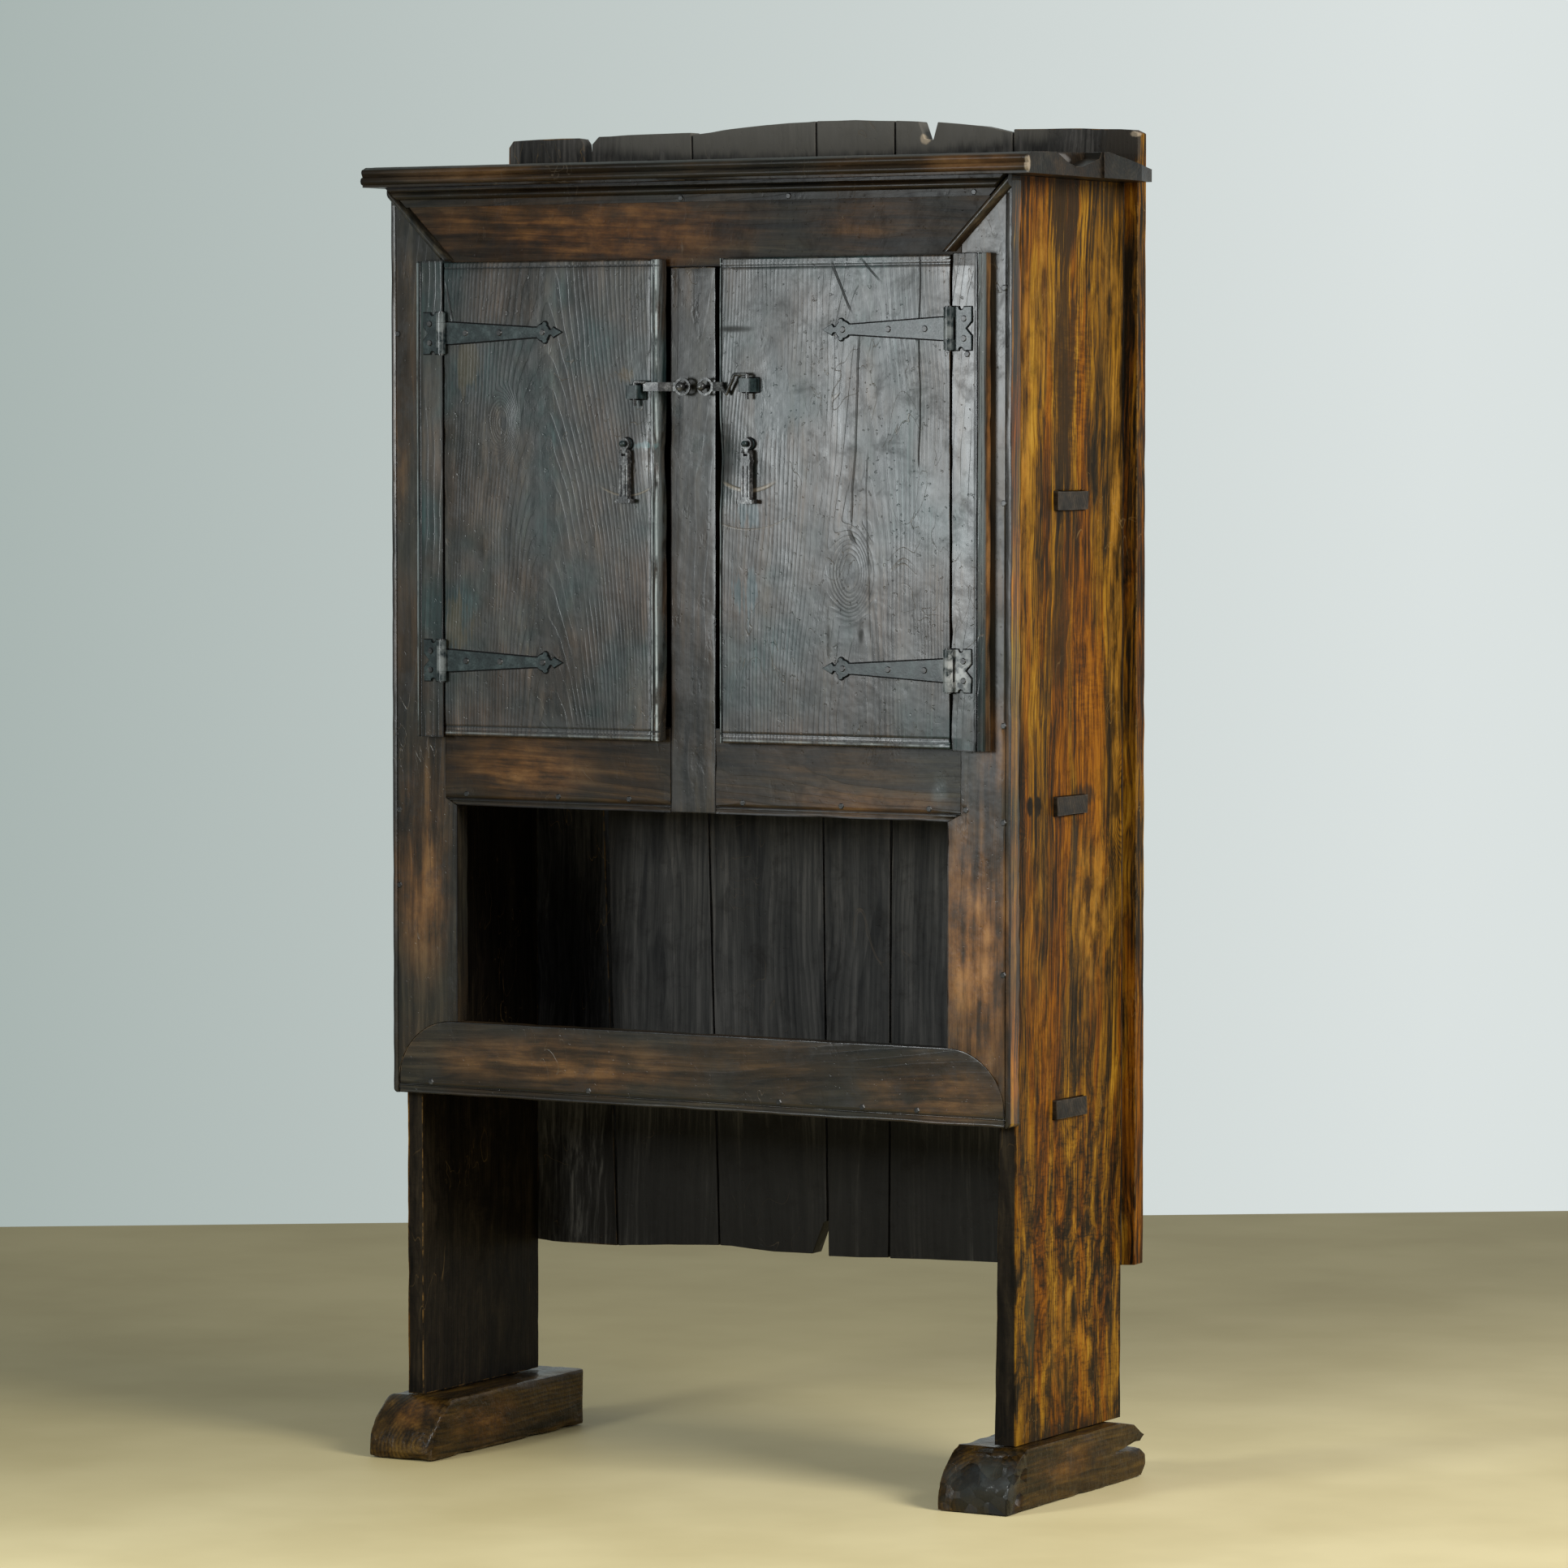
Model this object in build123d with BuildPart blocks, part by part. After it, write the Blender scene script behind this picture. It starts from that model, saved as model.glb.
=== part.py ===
from build123d import *

import os
from math import cos, radians, sin, sqrt

# Court cupboard: two side boards on trestle feet, a nailed face frame with two plank doors,
# an open niche under the doors, three through-tenoned shelves and six upright back boards.
#
# Lengths are millimetres. Every piece is placed by three numbers: x to the right of the
# middle of the face frame, depth behind the face of the frame (negative in front of it)
# and z above the floor. "hand" is -1 for the left side and +1 for the right side.

# ---------------------------------------------------------------- case
frame_width = 900  # over the outer edges of the stiles
frame_thick = 25  # stiles, rails and muntin
frame_bottom = 470  # underside of the lip rail
case_top = 1631  # underside of the cornice board
side_depth = 280  # side boards, front to back
side_thick = 24
side_inset = 4  # side boards stand in from the edges of the stiles
leg_flare_left = 0
leg_flare_right = 6  # the right leg thickens inwards towards its foot

# ---------------------------------------------------------------- face frame
stile_left_width = 81  # beside the doors
stile_right_width = 69
niche_left_width = 98  # beside the niche
niche_right_width = 88
top_rail_height = 106
corner_reach = 6  # the corner mitres meet the cornice board this far outside the stiles
mid_rail_bottom = 843
mid_rail_height = 107
mid_rail_scribe = 9  # height of the mitred bead at the rail's outer end
lip_rail_height = 95
lip_end_radius = 80  # quarter-round upper corners of the lip rail
stile_toe_radius = 6
muntin_width = 66
rail_tenon_length = 22
rail_tenon_margin = 18  # rail tenons are this much narrower than the rail, each side
joint_slack = 0.2  # every mortise is this much larger than its tenon, each side
bead_groove = 1.6  # width and depth of the scratched bead lines
bead_step = 7  # from an edge to its bead line
double_bead = (5, 10)  # two lines along the lower edges of the rails

# ---------------------------------------------------------------- shelves
shelf_thick = 24
upper_shelf_level = 1223
cupboard_floor_level = 846
shelf_tenon_width = 82
shelf_tenon_start = 120  # depth where the tenons begin
shelf_tenon_proud = 6  # tenons stand out of the side boards

# ---------------------------------------------------------------- feet
foot_height = 76
foot_width = 98
foot_toe = 38  # the feet reach this far in front of the frame
foot_length = 374
foot_inset = 15.5  # the middles of the feet lie this far inwards of the middles of the legs
toe_flat = 10  # upright part of the rounded toe
toe_round = 54  # length of the rounded toe
toe_shoulder = (13, 31)  # its curve passes this far behind the toe's front and below the top
# The right heel is worn and split. Its outline from the top down is (forwards, below the top).
split_heel = [(68, 0), (31, 7), (1, 24), (13, 33), (72, 37), (14, 38), (0, 49), (0, 62)]
split_heel_sole = 11  # its sole ends this far forwards
leg_tenon_length = 50
leg_tenon_thick = 14
leg_tenon_width = 180

# ---------------------------------------------------------------- cornice
cornice_left = 19  # overhang past the left stile
cornice_right = 46
cornice_projection = 42  # in front of the frame
cornice_thick = 26  # at the moulded front edge
cornice_cup = 11  # the board has cupped upwards towards the back
# A chip is broken out of the right end's upper edge. Its floor is (depth, drop below the top).
chip_profile = [(24, -5), (61, 11), (87, 18), (104, 18), (128, 13), (150, 8), (157, -5)]
chip_inward = 26
lump_start = 156  # behind this depth the right end stands out further
lump_proud = 3
hewn_start = 170  # the back right corner of the top is hewn off from this depth on
hewn_fall_back = 0.14  # slopes of the hewn corner
hewn_fall_right = 0.26
end_corner_cut = (10, 48)  # cut off the end's back corner, in plan: (inwards, forwards)
moulding_height = 25
moulding_projection = 18
moulding_fillet = 7  # the lower fillet stands this far out of the frame
corner_bead_width = 12
corner_bead_proud = 10

# ---------------------------------------------------------------- back boards
back_thick = 24
back_overhang = 20  # past the side boards
back_bottom = 246
back_top = 1707
joint_gap = 2  # between neighbouring back boards
shrink_gap = 12  # the first joint has opened to this at the top
joint_tops = [-343, -184, 2, 118, 289]  # middles of the joints at back_top; the planks taper
joint_feet = [-299, -143, 20, 111, 284]  # and at back_bottom

# ---------------------------------------------------------------- doors and hinge strips
door_lap_below = 17  # the doors lap over the mid rails
door_lap_above = 10  # and over the top rail
door_thick = 20
door_proud = 22  # front of the doors and hinge strips ahead of the frame
door_left_edge = 37  # free edges of the doors, from the middle of the frame
door_right_edge = 48
strip_width = 42
strip_margin = 2  # the strips end just short of and past the doors
hinge_inset_left = 93.5  # from the edges of the frame to the hinge axes
hinge_inset_right = 71.5
door_gap = 3  # between door and hinge strip

# ---------------------------------------------------------------- strap hinges
hinge_upper_drop = 90  # below the top of the doors
hinge_lower_rise = 96  # above the bottom of the doors
iron_thick = 2.5
barrel_radius = 6
barrel_clearance = 0.4  # between barrel and door face
knuckle_gap = 0.3
strap_knuckle = 27  # height of the strap's knuckle and root
strap_tip_width = 12
strap_neck = 136  # from the hinge axis to the end of the taper
strap_disc = 150  # from the hinge axis to the middle of the disc
strap_disc_radius = 10
strap_length = 178
plate_height = 52
plate_width = 29
hinge_pin_radius = 2.5
running_clearance = 0.05
pin_head_radius = 4
pin_head_height = 1.5
screw_radius = 2
screw_head_radius = 4
screw_head_height = 1.6
screw_length = 14
strap_screw_steps = [35, 86, strap_disc]  # from the hinge axis
plate_screw_step = 19
plate_screw_rise = 12

# ---------------------------------------------------------------- latches
latch_rise = 443  # above the bottom of the doors
stud_left_x = -6
stud_right_x = 25
stud_neck_radius = 2.5
stud_ball_radius = 5.5
stud_ball_reach = 22  # middle of the ball ahead of the frame
stud_seat = 12  # depth of the stud in the muntin
latch_pin_left_x = -66
latch_pin_right_x = 97
latch_pin_reach = 32  # pin ahead of the frame
bracket_left_drop = 15  # the bracket's underside, below the latch
bracket_right_drop = 7
bracket_width = 17
bracket_depth = 18
bracket_height = 17
bracket_foot = 24  # width of the bracket's foot plate
bracket_tang = 16
hasp_ring_radius = 11.3
hasp_hole_radius = 8.3
hasp_ring_reach = 11.5  # back of the ring ahead of the frame
hasp_ring_offset = 1  # the ring hangs this far towards its bracket
hasp_thick = 3
hasp_height = 11
hasp_rod_radius = 2.25
hasp_pin_drop = 9  # the rod shows this much below its bracket

# ---------------------------------------------------------------- drop pulls
pull_left_x = -82
pull_right_x = 95
pull_rise = 372  # height of the pull's eye above the bottom of the doors
pull_reach = 6.5  # middle of the pull ahead of the door
pull_shank_radius = 2.2
pull_rose_radius = 7
pull_rose_thick = 1.5
pull_head_radius = 4
pull_eye_radius = 7
pull_link_thick = 5
pull_hinge_drop = 12  # from the eye down to the bar's cross pin
pull_lug_width = 5.4
pull_pin_radius = 1.5
pull_bar_width = 12
pull_bar_depth = 9
pull_bar_length = 62  # from the cross pin to the underside of the foot
pull_foot_width = 26
pull_foot_depth = 12
pull_foot_thick = 5
pull_fork_slack = 0.2
pull_fork_floor = 3.3  # from the cross pin down to the bottom of the fork

# ---------------------------------------------------------------- nails
nail_radius = 1.5
nail_head_radius = 4.2
nail_head_height = 1.4
nail_length = 44
moulding_nail_length = 30
strip_nail_length = 40
stile_nail_inset = 6  # from the outer faces of the side boards
stile_nail_drops_left = [186, 796, 893]  # below the underside of the cornice board
stile_nail_drops_right = [137, 398, 669, 787, 973]
mid_rail_nails_left = [113, 251, 356]  # from the left edge of the frame
mid_rail_nails_right = [62, 113, 237, 378]  # from the right edge of the frame
lip_rail_nails_left = [57, 295]
lip_rail_nails_right = [130, 207, 326]
lip_rail_nail_rise = 4  # above the middle of the niche floor's edge
moulding_nails_left = [437, 592]
moulding_nails_right = [48]
moulding_nail_rise = 4.5  # above the lower edge of the moulding
strip_nail_drop = 217  # below the underside of the cornice board

# ---------------------------------------------------------------- worked out from the sizes above
half_width = frame_width / 2
side_outer = half_width - side_inset
side_inner = side_outer - side_thick
case_back = frame_thick + side_depth
lip_half_width = half_width - bead_step - bead_groove / 2  # it ends at the stiles' bead lines
mid_rail_top = mid_rail_bottom + mid_rail_height
top_rail_bottom = case_top - top_rail_height
niche_floor_level = frame_bottom
shelf_levels = [upper_shelf_level, cupboard_floor_level, niche_floor_level]
foot_back = foot_length - foot_toe
leg_middle_x = side_outer - side_thick / 2
foot_middle_x = leg_middle_x - foot_inset
leg_middle_depth = frame_thick + side_depth / 2
back_edge = side_outer + back_overhang
back_face = case_back + back_thick
door_bottom = mid_rail_top - door_lap_below
door_top = top_rail_bottom + door_lap_above
hinge_axis_left = half_width - hinge_inset_left
hinge_axis_right = half_width - hinge_inset_right
hinge_upper_level = door_top - hinge_upper_drop
hinge_lower_level = door_bottom + hinge_lower_rise
hinge_reach = door_proud + barrel_clearance + barrel_radius
latch_level = door_bottom + latch_rise
bracket_left_bottom = latch_level - bracket_left_drop
bracket_right_bottom = latch_level - bracket_right_drop
pull_level = door_bottom + pull_rise
pull_axis_reach = door_proud + pull_reach
pull_hinge_level = pull_level - pull_hinge_drop

# The part's origin is on the floor, in the middle of its length and depth.
centre_x = (cornice_left - cornice_right) / 2
face_y = (cornice_projection - foot_back) / 2

front = Plane(origin=(centre_x, face_y, 0), x_dir=(1, 0, 0), z_dir=(0, -1, 0))
side = Plane(origin=(centre_x, face_y, 0), x_dir=(0, 1, 0), z_dir=(1, 0, 0))
plan = Plane(origin=(centre_x, face_y, 0), x_dir=(1, 0, 0), z_dir=(0, 0, 1))

os.makedirs("parts", exist_ok=True)


def at_depth(depth):
    """Front elevation at this depth: sketch x and z, extrude forwards with a positive amount."""
    return front.offset(-depth)


def point(x, depth, z):
    """A point given by x, depth and z, in the part's own coordinates."""
    return (centre_x + x, face_y + depth, z)


def keep(piece, name):
    """Label a finished piece and write it to its own file."""
    piece.part.label = name
    export_step(piece.part, f"parts/{name}.step")


def mitre_height(x):
    """Height of the corner mitre at a distance x from the middle of the frame."""
    return case_top - (half_width + corner_reach - x)


def drill(places, start, depth, radius):
    """Drill round holes at places (x, z), from the depth start backwards (or forwards if negative)."""
    with BuildSketch(at_depth(start)) as holes:
        with Locations(*places):
            Circle(radius)
    extrude(holes.sketch, amount=-depth, mode=Mode.SUBTRACT)


def tenon(x_low, x_high, z_low, z_high, slack=0, mode=Mode.ADD):
    """Add a tenon in the middle third of the frame's thickness, or cut its mortise."""
    with BuildSketch(at_depth(frame_thick * 2 / 3 + slack)) as outline:
        with Locations(((x_low + x_high) / 2, (z_low + z_high) / 2)):
            Rectangle(x_high - x_low + 2 * slack, z_high - z_low + 2 * slack)
    extrude(outline.sketch, amount=frame_thick / 3 + 2 * slack, mode=mode)


def bead_line(x_low, x_high, z_low, z_high, face_depth):
    """Scratch a straight bead line between two corners, into the face at this depth."""
    with BuildSketch(at_depth(face_depth + bead_groove)) as line:
        with Locations(((x_low + x_high) / 2, (z_low + z_high) / 2)):
            Rectangle(max(x_high - x_low, bead_groove), max(z_high - z_low, bead_groove))
    extrude(line.sketch, amount=bead_groove, mode=Mode.SUBTRACT)


# ---------------------------------------------------------------- nail places
def across(left_steps, right_steps):
    """Positions x at these steps in from the left and the right edge of the frame."""
    return [step - half_width for step in left_steps] + [half_width - step for step in right_steps]


stile_nail_x = side_outer - stile_nail_inset
mid_rail_nail_z = cupboard_floor_level + shelf_thick / 2
lip_rail_nail_z = niche_floor_level + shelf_thick / 2 + lip_rail_nail_rise
moulding_nail_z = case_top - moulding_height + moulding_nail_rise
frame_nail_places = [
    *[(-stile_nail_x, case_top - drop) for drop in stile_nail_drops_left],
    *[(stile_nail_x, case_top - drop) for drop in stile_nail_drops_right],
    *[(x, mid_rail_nail_z) for x in across(mid_rail_nails_left, mid_rail_nails_right)],
    *[(x, lip_rail_nail_z) for x in across(lip_rail_nails_left, lip_rail_nails_right)],
]
moulding_nail_places = [(x, moulding_nail_z) for x in across(moulding_nails_left, moulding_nails_right)]
strip_nail_places = [
    (hinge_axis_right + door_gap / 2 + strip_width / 2, case_top - strip_nail_drop)
]


# ---------------------------------------------------------------- back boards
def joint_x(number, z):
    """Middle of back joint 1 to 5 at height z."""
    top_x, bottom_x = joint_tops[number - 1], joint_feet[number - 1]
    share = (z - back_bottom) / (back_top - back_bottom)
    return bottom_x + (top_x - bottom_x) * share


def board_edges(number, z):
    """Left and right edge of back board 1 to 6 at height z."""
    shrinkage = (shrink_gap - joint_gap) * (z - back_bottom) / (back_top - back_bottom)
    left = -back_edge if number == 1 else joint_x(number - 1, z) + joint_gap / 2
    right = back_edge if number == 6 else joint_x(number, z) - joint_gap / 2
    if number == 1:
        right -= shrinkage / 2
    if number == 2:
        left += shrinkage / 2
    return left, right


# Rises of the planks' upper ends above back_top and of their lower ends above back_bottom,
# each as (share of the plank's width from its left edge, rise).
top_outlines = [
    [(0, -12), (0.06, -3), (0.4, -2), (0.95, -1), (1, -9)],
    [(0, -10), (0.07, 0), (0.5, 1), (1, 2)],
    [(0, -1), (0.25, 4), (0.6, 9), (1, 12)],
    [(0, 12), (0.5, 12), (1, 10)],
    [(0, 10), (0.2, 8), (0.25, -14), (0.32, -16), (0.36, 7), (0.75, 0), (1, -9)],
    [(0, -5), (0.5, -6), (0.94, -9), (1, -14)],
]
foot_outlines = [
    [(0, 4), (0.4, 0), (1, 1)],
    [(0, 1), (0.5, 7), (1, 11)],
    [(0, 11), (0.5, 8), (0.87, 9), (0.97, 50), (1, 52)],
    [(0, 7), (0.5, 8), (1, 11)],
    [(0, 10), (0.5, 13), (1, 15)],
    [(0, 17), (0.6, 20), (1, 24)],
]
back_nail_rows = [case_top + cornice_thick / 2] + [level + shelf_thick / 2 for level in shelf_levels]
back_nail_places = []
for number in range(1, 7):
    for row in back_nail_rows:
        left, right = board_edges(number, row)
        back_nail_places += [(left + (right - left) * share, row) for share in (0.22, 0.78)]

for number in range(1, 7):
    tops, feet = top_outlines[number - 1], foot_outlines[number - 1]
    outline = []
    for share, rise in tops:
        left, right = board_edges(number, back_top)
        outline.append((left + (right - left) * share, back_top + rise))
    for share, rise in reversed(feet):
        left, right = board_edges(number, back_bottom)
        outline.append((left + (right - left) * share, back_bottom + rise))
    with BuildPart() as back_board:
        with BuildSketch(at_depth(back_face)):
            Polygon(*outline, align=None)
        extrude(amount=back_thick)
        drill(back_nail_places, back_face, -back_thick, nail_radius)
    keep(back_board, f"back_board_{number}")


# ---------------------------------------------------------------- side boards
def side_board(hand, leg_flare):
    """Side of the case that runs down to its foot as a leg, with mortises for the shelves."""
    with BuildPart() as board:
        with BuildSketch(at_depth(case_back)):
            Polygon(
                (hand * side_outer, case_top),
                (hand * side_outer, foot_height),
                (hand * (side_inner - leg_flare), foot_height),
                (hand * side_inner, frame_bottom),
                (hand * side_inner, case_top),
                align=None,
            )
        extrude(amount=side_depth)
        with BuildSketch(plan.offset(foot_height)):
            with Locations((hand * leg_middle_x, leg_middle_depth)):
                Rectangle(leg_tenon_thick, leg_tenon_width)
        extrude(amount=-leg_tenon_length)
        with BuildSketch(side.offset(hand * leg_middle_x)):
            for level in shelf_levels:
                with Locations((shelf_tenon_start + shelf_tenon_width / 2, level + shelf_thick / 2)):
                    Rectangle(shelf_tenon_width + 2 * joint_slack, shelf_thick + 2 * joint_slack)
        extrude(amount=side_thick, both=True, mode=Mode.SUBTRACT)
        drill(frame_nail_places, 0, nail_length, nail_radius)
        drill(back_nail_places, back_face, -nail_length, nail_radius)
    return board


keep(side_board(-1, leg_flare_left), "side_left")
keep(side_board(1, leg_flare_right), "side_right")


# ---------------------------------------------------------------- shelves
def shelf(level):
    """Shelf between the side boards, with one through tenon at each end."""
    with BuildPart() as board:
        with BuildSketch(plan.offset(level)):
            with Locations((0, leg_middle_depth)):
                Rectangle(2 * side_inner, side_depth)
            with Locations((0, shelf_tenon_start + shelf_tenon_width / 2)):
                Rectangle(2 * (side_outer + shelf_tenon_proud), shelf_tenon_width)
        extrude(amount=shelf_thick)
        drill(frame_nail_places, 0, nail_length, nail_radius)
        drill(back_nail_places, back_face, -nail_length, nail_radius)
    return board


keep(shelf(upper_shelf_level), "upper_shelf")
keep(shelf(cupboard_floor_level), "cupboard_floor")
keep(shelf(niche_floor_level), "niche_floor")


# ---------------------------------------------------------------- feet
def foot(hand, heel):
    """Foot block with a rounded toe and a mortise for the leg; heel lists (depth, z), top first."""
    with BuildPart() as block:
        with BuildSketch(side.offset(hand * foot_middle_x - foot_width / 2)):
            with BuildLine():
                arc = ThreePointArc(
                    (toe_round - foot_toe, foot_height),
                    (toe_shoulder[0] - foot_toe, foot_height - toe_shoulder[1]),
                    (-foot_toe, toe_flat),
                )
                Polyline(arc @ 0, *heel, (-foot_toe, 0), arc @ 1)
            make_face()
        extrude(amount=foot_width)
        with BuildSketch(plan.offset(foot_height)):
            with Locations((hand * leg_middle_x, leg_middle_depth)):
                Rectangle(leg_tenon_thick + 2 * joint_slack, leg_tenon_width + 2 * joint_slack)
        extrude(amount=-(leg_tenon_length + joint_slack), mode=Mode.SUBTRACT)
    return block


square_heel = [(foot_back, foot_height), (foot_back, 0)]
worn_heel = [(foot_back - forward, foot_height - drop) for forward, drop in split_heel]
keep(foot(-1, square_heel), "foot_left")
keep(foot(1, worn_heel + [(foot_back - split_heel_sole, 0)]), "foot_right")


# ---------------------------------------------------------------- lip rail
def lip_outline():
    """The lip rail in elevation, its upper corners rounded out to the stiles' bead lines."""
    with BuildSketch(at_depth(frame_thick)) as outline:
        with Locations((0, frame_bottom + lip_rail_height / 2)):
            Rectangle(2 * lip_half_width, lip_rail_height)
        fillet(outline.vertices().group_by(Axis.Y)[-1], lip_end_radius)
    return outline.sketch


with BuildPart() as lip_rail:
    extrude(lip_outline(), amount=frame_thick)
    for line in double_bead:
        bead_line(-half_width, half_width, frame_bottom + line, frame_bottom + line, 0)
    drill(frame_nail_places, 0, frame_thick, nail_radius)
keep(lip_rail, "lip_rail")


# ---------------------------------------------------------------- stiles, rails and muntin
rail_tenons = (mid_rail_bottom + rail_tenon_margin, mid_rail_top - rail_tenon_margin)


def stile(hand, door_width, niche_width):
    """Upright of the face frame, mitred at the top and cut over the lip rail's rounded end."""
    inner, niche_inner = half_width - door_width, half_width - niche_width
    with BuildPart() as upright:
        with BuildSketch(at_depth(frame_thick)):
            Polygon(
                (hand * half_width, mitre_height(half_width)),
                (hand * inner, mitre_height(inner)),
                (hand * inner, mid_rail_bottom + mid_rail_scribe),
                (hand * niche_inner, mid_rail_bottom),
                (hand * niche_inner, frame_bottom),
                (hand * half_width, frame_bottom),
                align=None,
            )
        extrude(amount=frame_thick)
        toe_edges = upright.edges().filter_by(Axis.Y).group_by(Axis.Z)[0].sort_by(Axis.X)
        fillet(toe_edges[-1] if hand > 0 else toe_edges[0], stile_toe_radius)
        extrude(lip_outline(), amount=frame_thick, mode=Mode.SUBTRACT)
        mortise_x = sorted((hand * inner, hand * (inner + rail_tenon_length)))
        tenon(*mortise_x, *rail_tenons, slack=joint_slack, mode=Mode.SUBTRACT)
        bead_x = hand * (half_width - bead_step)
        bead_line(bead_x, bead_x, frame_bottom, mitre_height(half_width), 0)
        drill(frame_nail_places, 0, frame_thick, nail_radius)
        drill(strip_nail_places, -door_proud, strip_nail_length, nail_radius)
    return upright


keep(stile(-1, stile_left_width, niche_left_width), "stile_left")
keep(stile(1, stile_right_width, niche_right_width), "stile_right")

inner_left, inner_right = half_width - stile_left_width, half_width - stile_right_width
muntin_tenon = (-muntin_width / 4, muntin_width / 4, top_rail_bottom, top_rail_bottom + rail_tenon_length)

with BuildPart() as top_rail:
    with BuildSketch(at_depth(frame_thick)):
        Polygon(
            (-half_width, case_top),
            (half_width, case_top),
            (half_width, mitre_height(half_width)),
            (inner_right, mitre_height(inner_right)),
            (inner_right, top_rail_bottom),
            (-inner_left, top_rail_bottom),
            (-inner_left, mitre_height(inner_left)),
            (-half_width, mitre_height(half_width)),
            align=None,
        )
    extrude(amount=frame_thick)
    tenon(*muntin_tenon, slack=joint_slack, mode=Mode.SUBTRACT)
    drill(moulding_nail_places, -moulding_fillet, moulding_nail_length, nail_radius)
keep(top_rail, "top_rail")

with BuildPart() as muntin:
    with BuildSketch(at_depth(frame_thick)):
        with Locations((0, (mid_rail_bottom + top_rail_bottom) / 2)):
            Rectangle(muntin_width, top_rail_bottom - mid_rail_bottom)
    extrude(amount=frame_thick)
    tenon(*muntin_tenon)
    for hand in (-1, 1):
        mortise_x = sorted((hand * muntin_width / 2, hand * (muntin_width / 2 - rail_tenon_length)))
        tenon(*mortise_x, *rail_tenons, slack=joint_slack, mode=Mode.SUBTRACT)
    drill(frame_nail_places, 0, frame_thick, nail_radius)
    drill([(stud_left_x, latch_level), (stud_right_x, latch_level)], 0, stud_seat, stud_neck_radius)
keep(muntin, "muntin")


def mid_rail(hand, stile_width, niche_width):
    """Rail between a stile and the muntin, with a scratched bead along its lower edge."""
    outer, scribe_x = half_width - stile_width, half_width - niche_width
    inner = muntin_width / 2
    with BuildPart() as rail:
        with BuildSketch(at_depth(frame_thick)):
            Polygon(
                (hand * outer, mid_rail_top),
                (hand * inner, mid_rail_top),
                (hand * inner, mid_rail_bottom),
                (hand * scribe_x, mid_rail_bottom),
                (hand * outer, mid_rail_bottom + mid_rail_scribe),
                align=None,
            )
        extrude(amount=frame_thick)
        for root, tip in ((outer, outer + rail_tenon_length), (inner, inner - rail_tenon_length)):
            tenon(*sorted((hand * root, hand * tip)), *rail_tenons)
        for line in double_bead:
            line_z = mid_rail_bottom + line
            bead_line(*sorted((hand * inner, hand * outer)), line_z, line_z, 0)
        drill(frame_nail_places, 0, frame_thick, nail_radius)
    return rail


keep(mid_rail(-1, stile_left_width, niche_left_width), "mid_rail_left")
keep(mid_rail(1, stile_right_width, niche_right_width), "mid_rail_right")


# ---------------------------------------------------------------- cornice
nose = cornice_projection
right_end = half_width + cornice_right


def cornice_level(depth):
    """Height of the cupped top of the cornice board at this depth."""
    return case_top + cornice_thick + cornice_cup * (depth + nose - 12) / (case_back + nose - 12)


with BuildPart() as cornice_board:
    with BuildSketch(side.offset(-half_width - cornice_left)):
        with BuildLine():
            Polyline(
                (5 - nose, case_top),
                (case_back, case_top),
                (case_back, case_top + cornice_thick + cornice_cup),
                (12 - nose, case_top + cornice_thick),
                (4 - nose, case_top + cornice_thick - 3),
            )
            ThreePointArc(
                (4 - nose, case_top + cornice_thick - 3),
                (2 - nose, case_top + cornice_thick - 6),
                (3 - nose, case_top + cornice_thick - 10),
            )
            Line((3 - nose, case_top + cornice_thick - 10), (5 - nose, case_top + cornice_thick - 13))
            ThreePointArc(
                (5 - nose, case_top + cornice_thick - 13),
                (-nose, case_top + 8),
                (5 - nose, case_top + 3),
            )
            Line((5 - nose, case_top + 3), (5 - nose, case_top))
        make_face()
    extrude(amount=frame_width + cornice_left + cornice_right)
    with BuildSketch(plan.offset(case_top)):
        inward, forward = end_corner_cut
        Polygon(
            (right_end, case_back - forward),
            (right_end, case_back),
            (right_end - inward, case_back),
            align=None,
        )
        with Locations((right_end - lump_proud / 2, (lump_start - nose) / 2)):
            Rectangle(lump_proud, lump_start + nose)
    extrude(amount=cornice_thick + cornice_cup, mode=Mode.SUBTRACT)
    with BuildSketch(side.offset(right_end)):
        Polygon(*[(depth, cornice_level(depth) - drop) for depth, drop in chip_profile], align=None)
    extrude(amount=-chip_inward, mode=Mode.SUBTRACT)
    hewn = Plane(
        origin=point(right_end, hewn_start, cornice_level(hewn_start)),
        z_dir=(hewn_fall_right, hewn_fall_back, 1),
    )
    split(bisect_by=hewn, keep=Keep.BOTTOM)
    drill(back_nail_places, back_face, -nail_length, nail_radius)
keep(cornice_board, "cornice_board")

bead_cover = corner_bead_width / sqrt(2)  # half the corner bead, measured along the frame
with BuildPart() as cornice_moulding:
    base = case_top - moulding_height
    with BuildSketch(side.offset(-half_width)):
        with BuildLine():
            lower = Polyline(
                (0, case_top),
                (0, base),
                (-moulding_fillet, base),
                (-moulding_fillet, base + 9),
                (-moulding_fillet - 2, base + 10.5),
            )
            ovolo = ThreePointArc(
                lower @ 1, (2 - moulding_projection, base + 14), (5 - moulding_projection, base + 19)
            )
            Polyline(
                ovolo @ 1,
                (-moulding_projection, base + 21),
                (-moulding_projection, case_top),
                (0, case_top),
            )
        make_face()
    extrude(amount=frame_width)
    with BuildSketch(at_depth(0)):
        reach = half_width + corner_reach - bead_cover
        Polygon(
            (-reach, case_top),
            (reach, case_top),
            (reach - moulding_height, base),
            (moulding_height - reach, base),
            align=None,
        )
    extrude(amount=moulding_projection, mode=Mode.INTERSECT)
    drill(moulding_nail_places, -moulding_fillet, moulding_fillet, nail_radius)
keep(cornice_moulding, "cornice_moulding")


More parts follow.
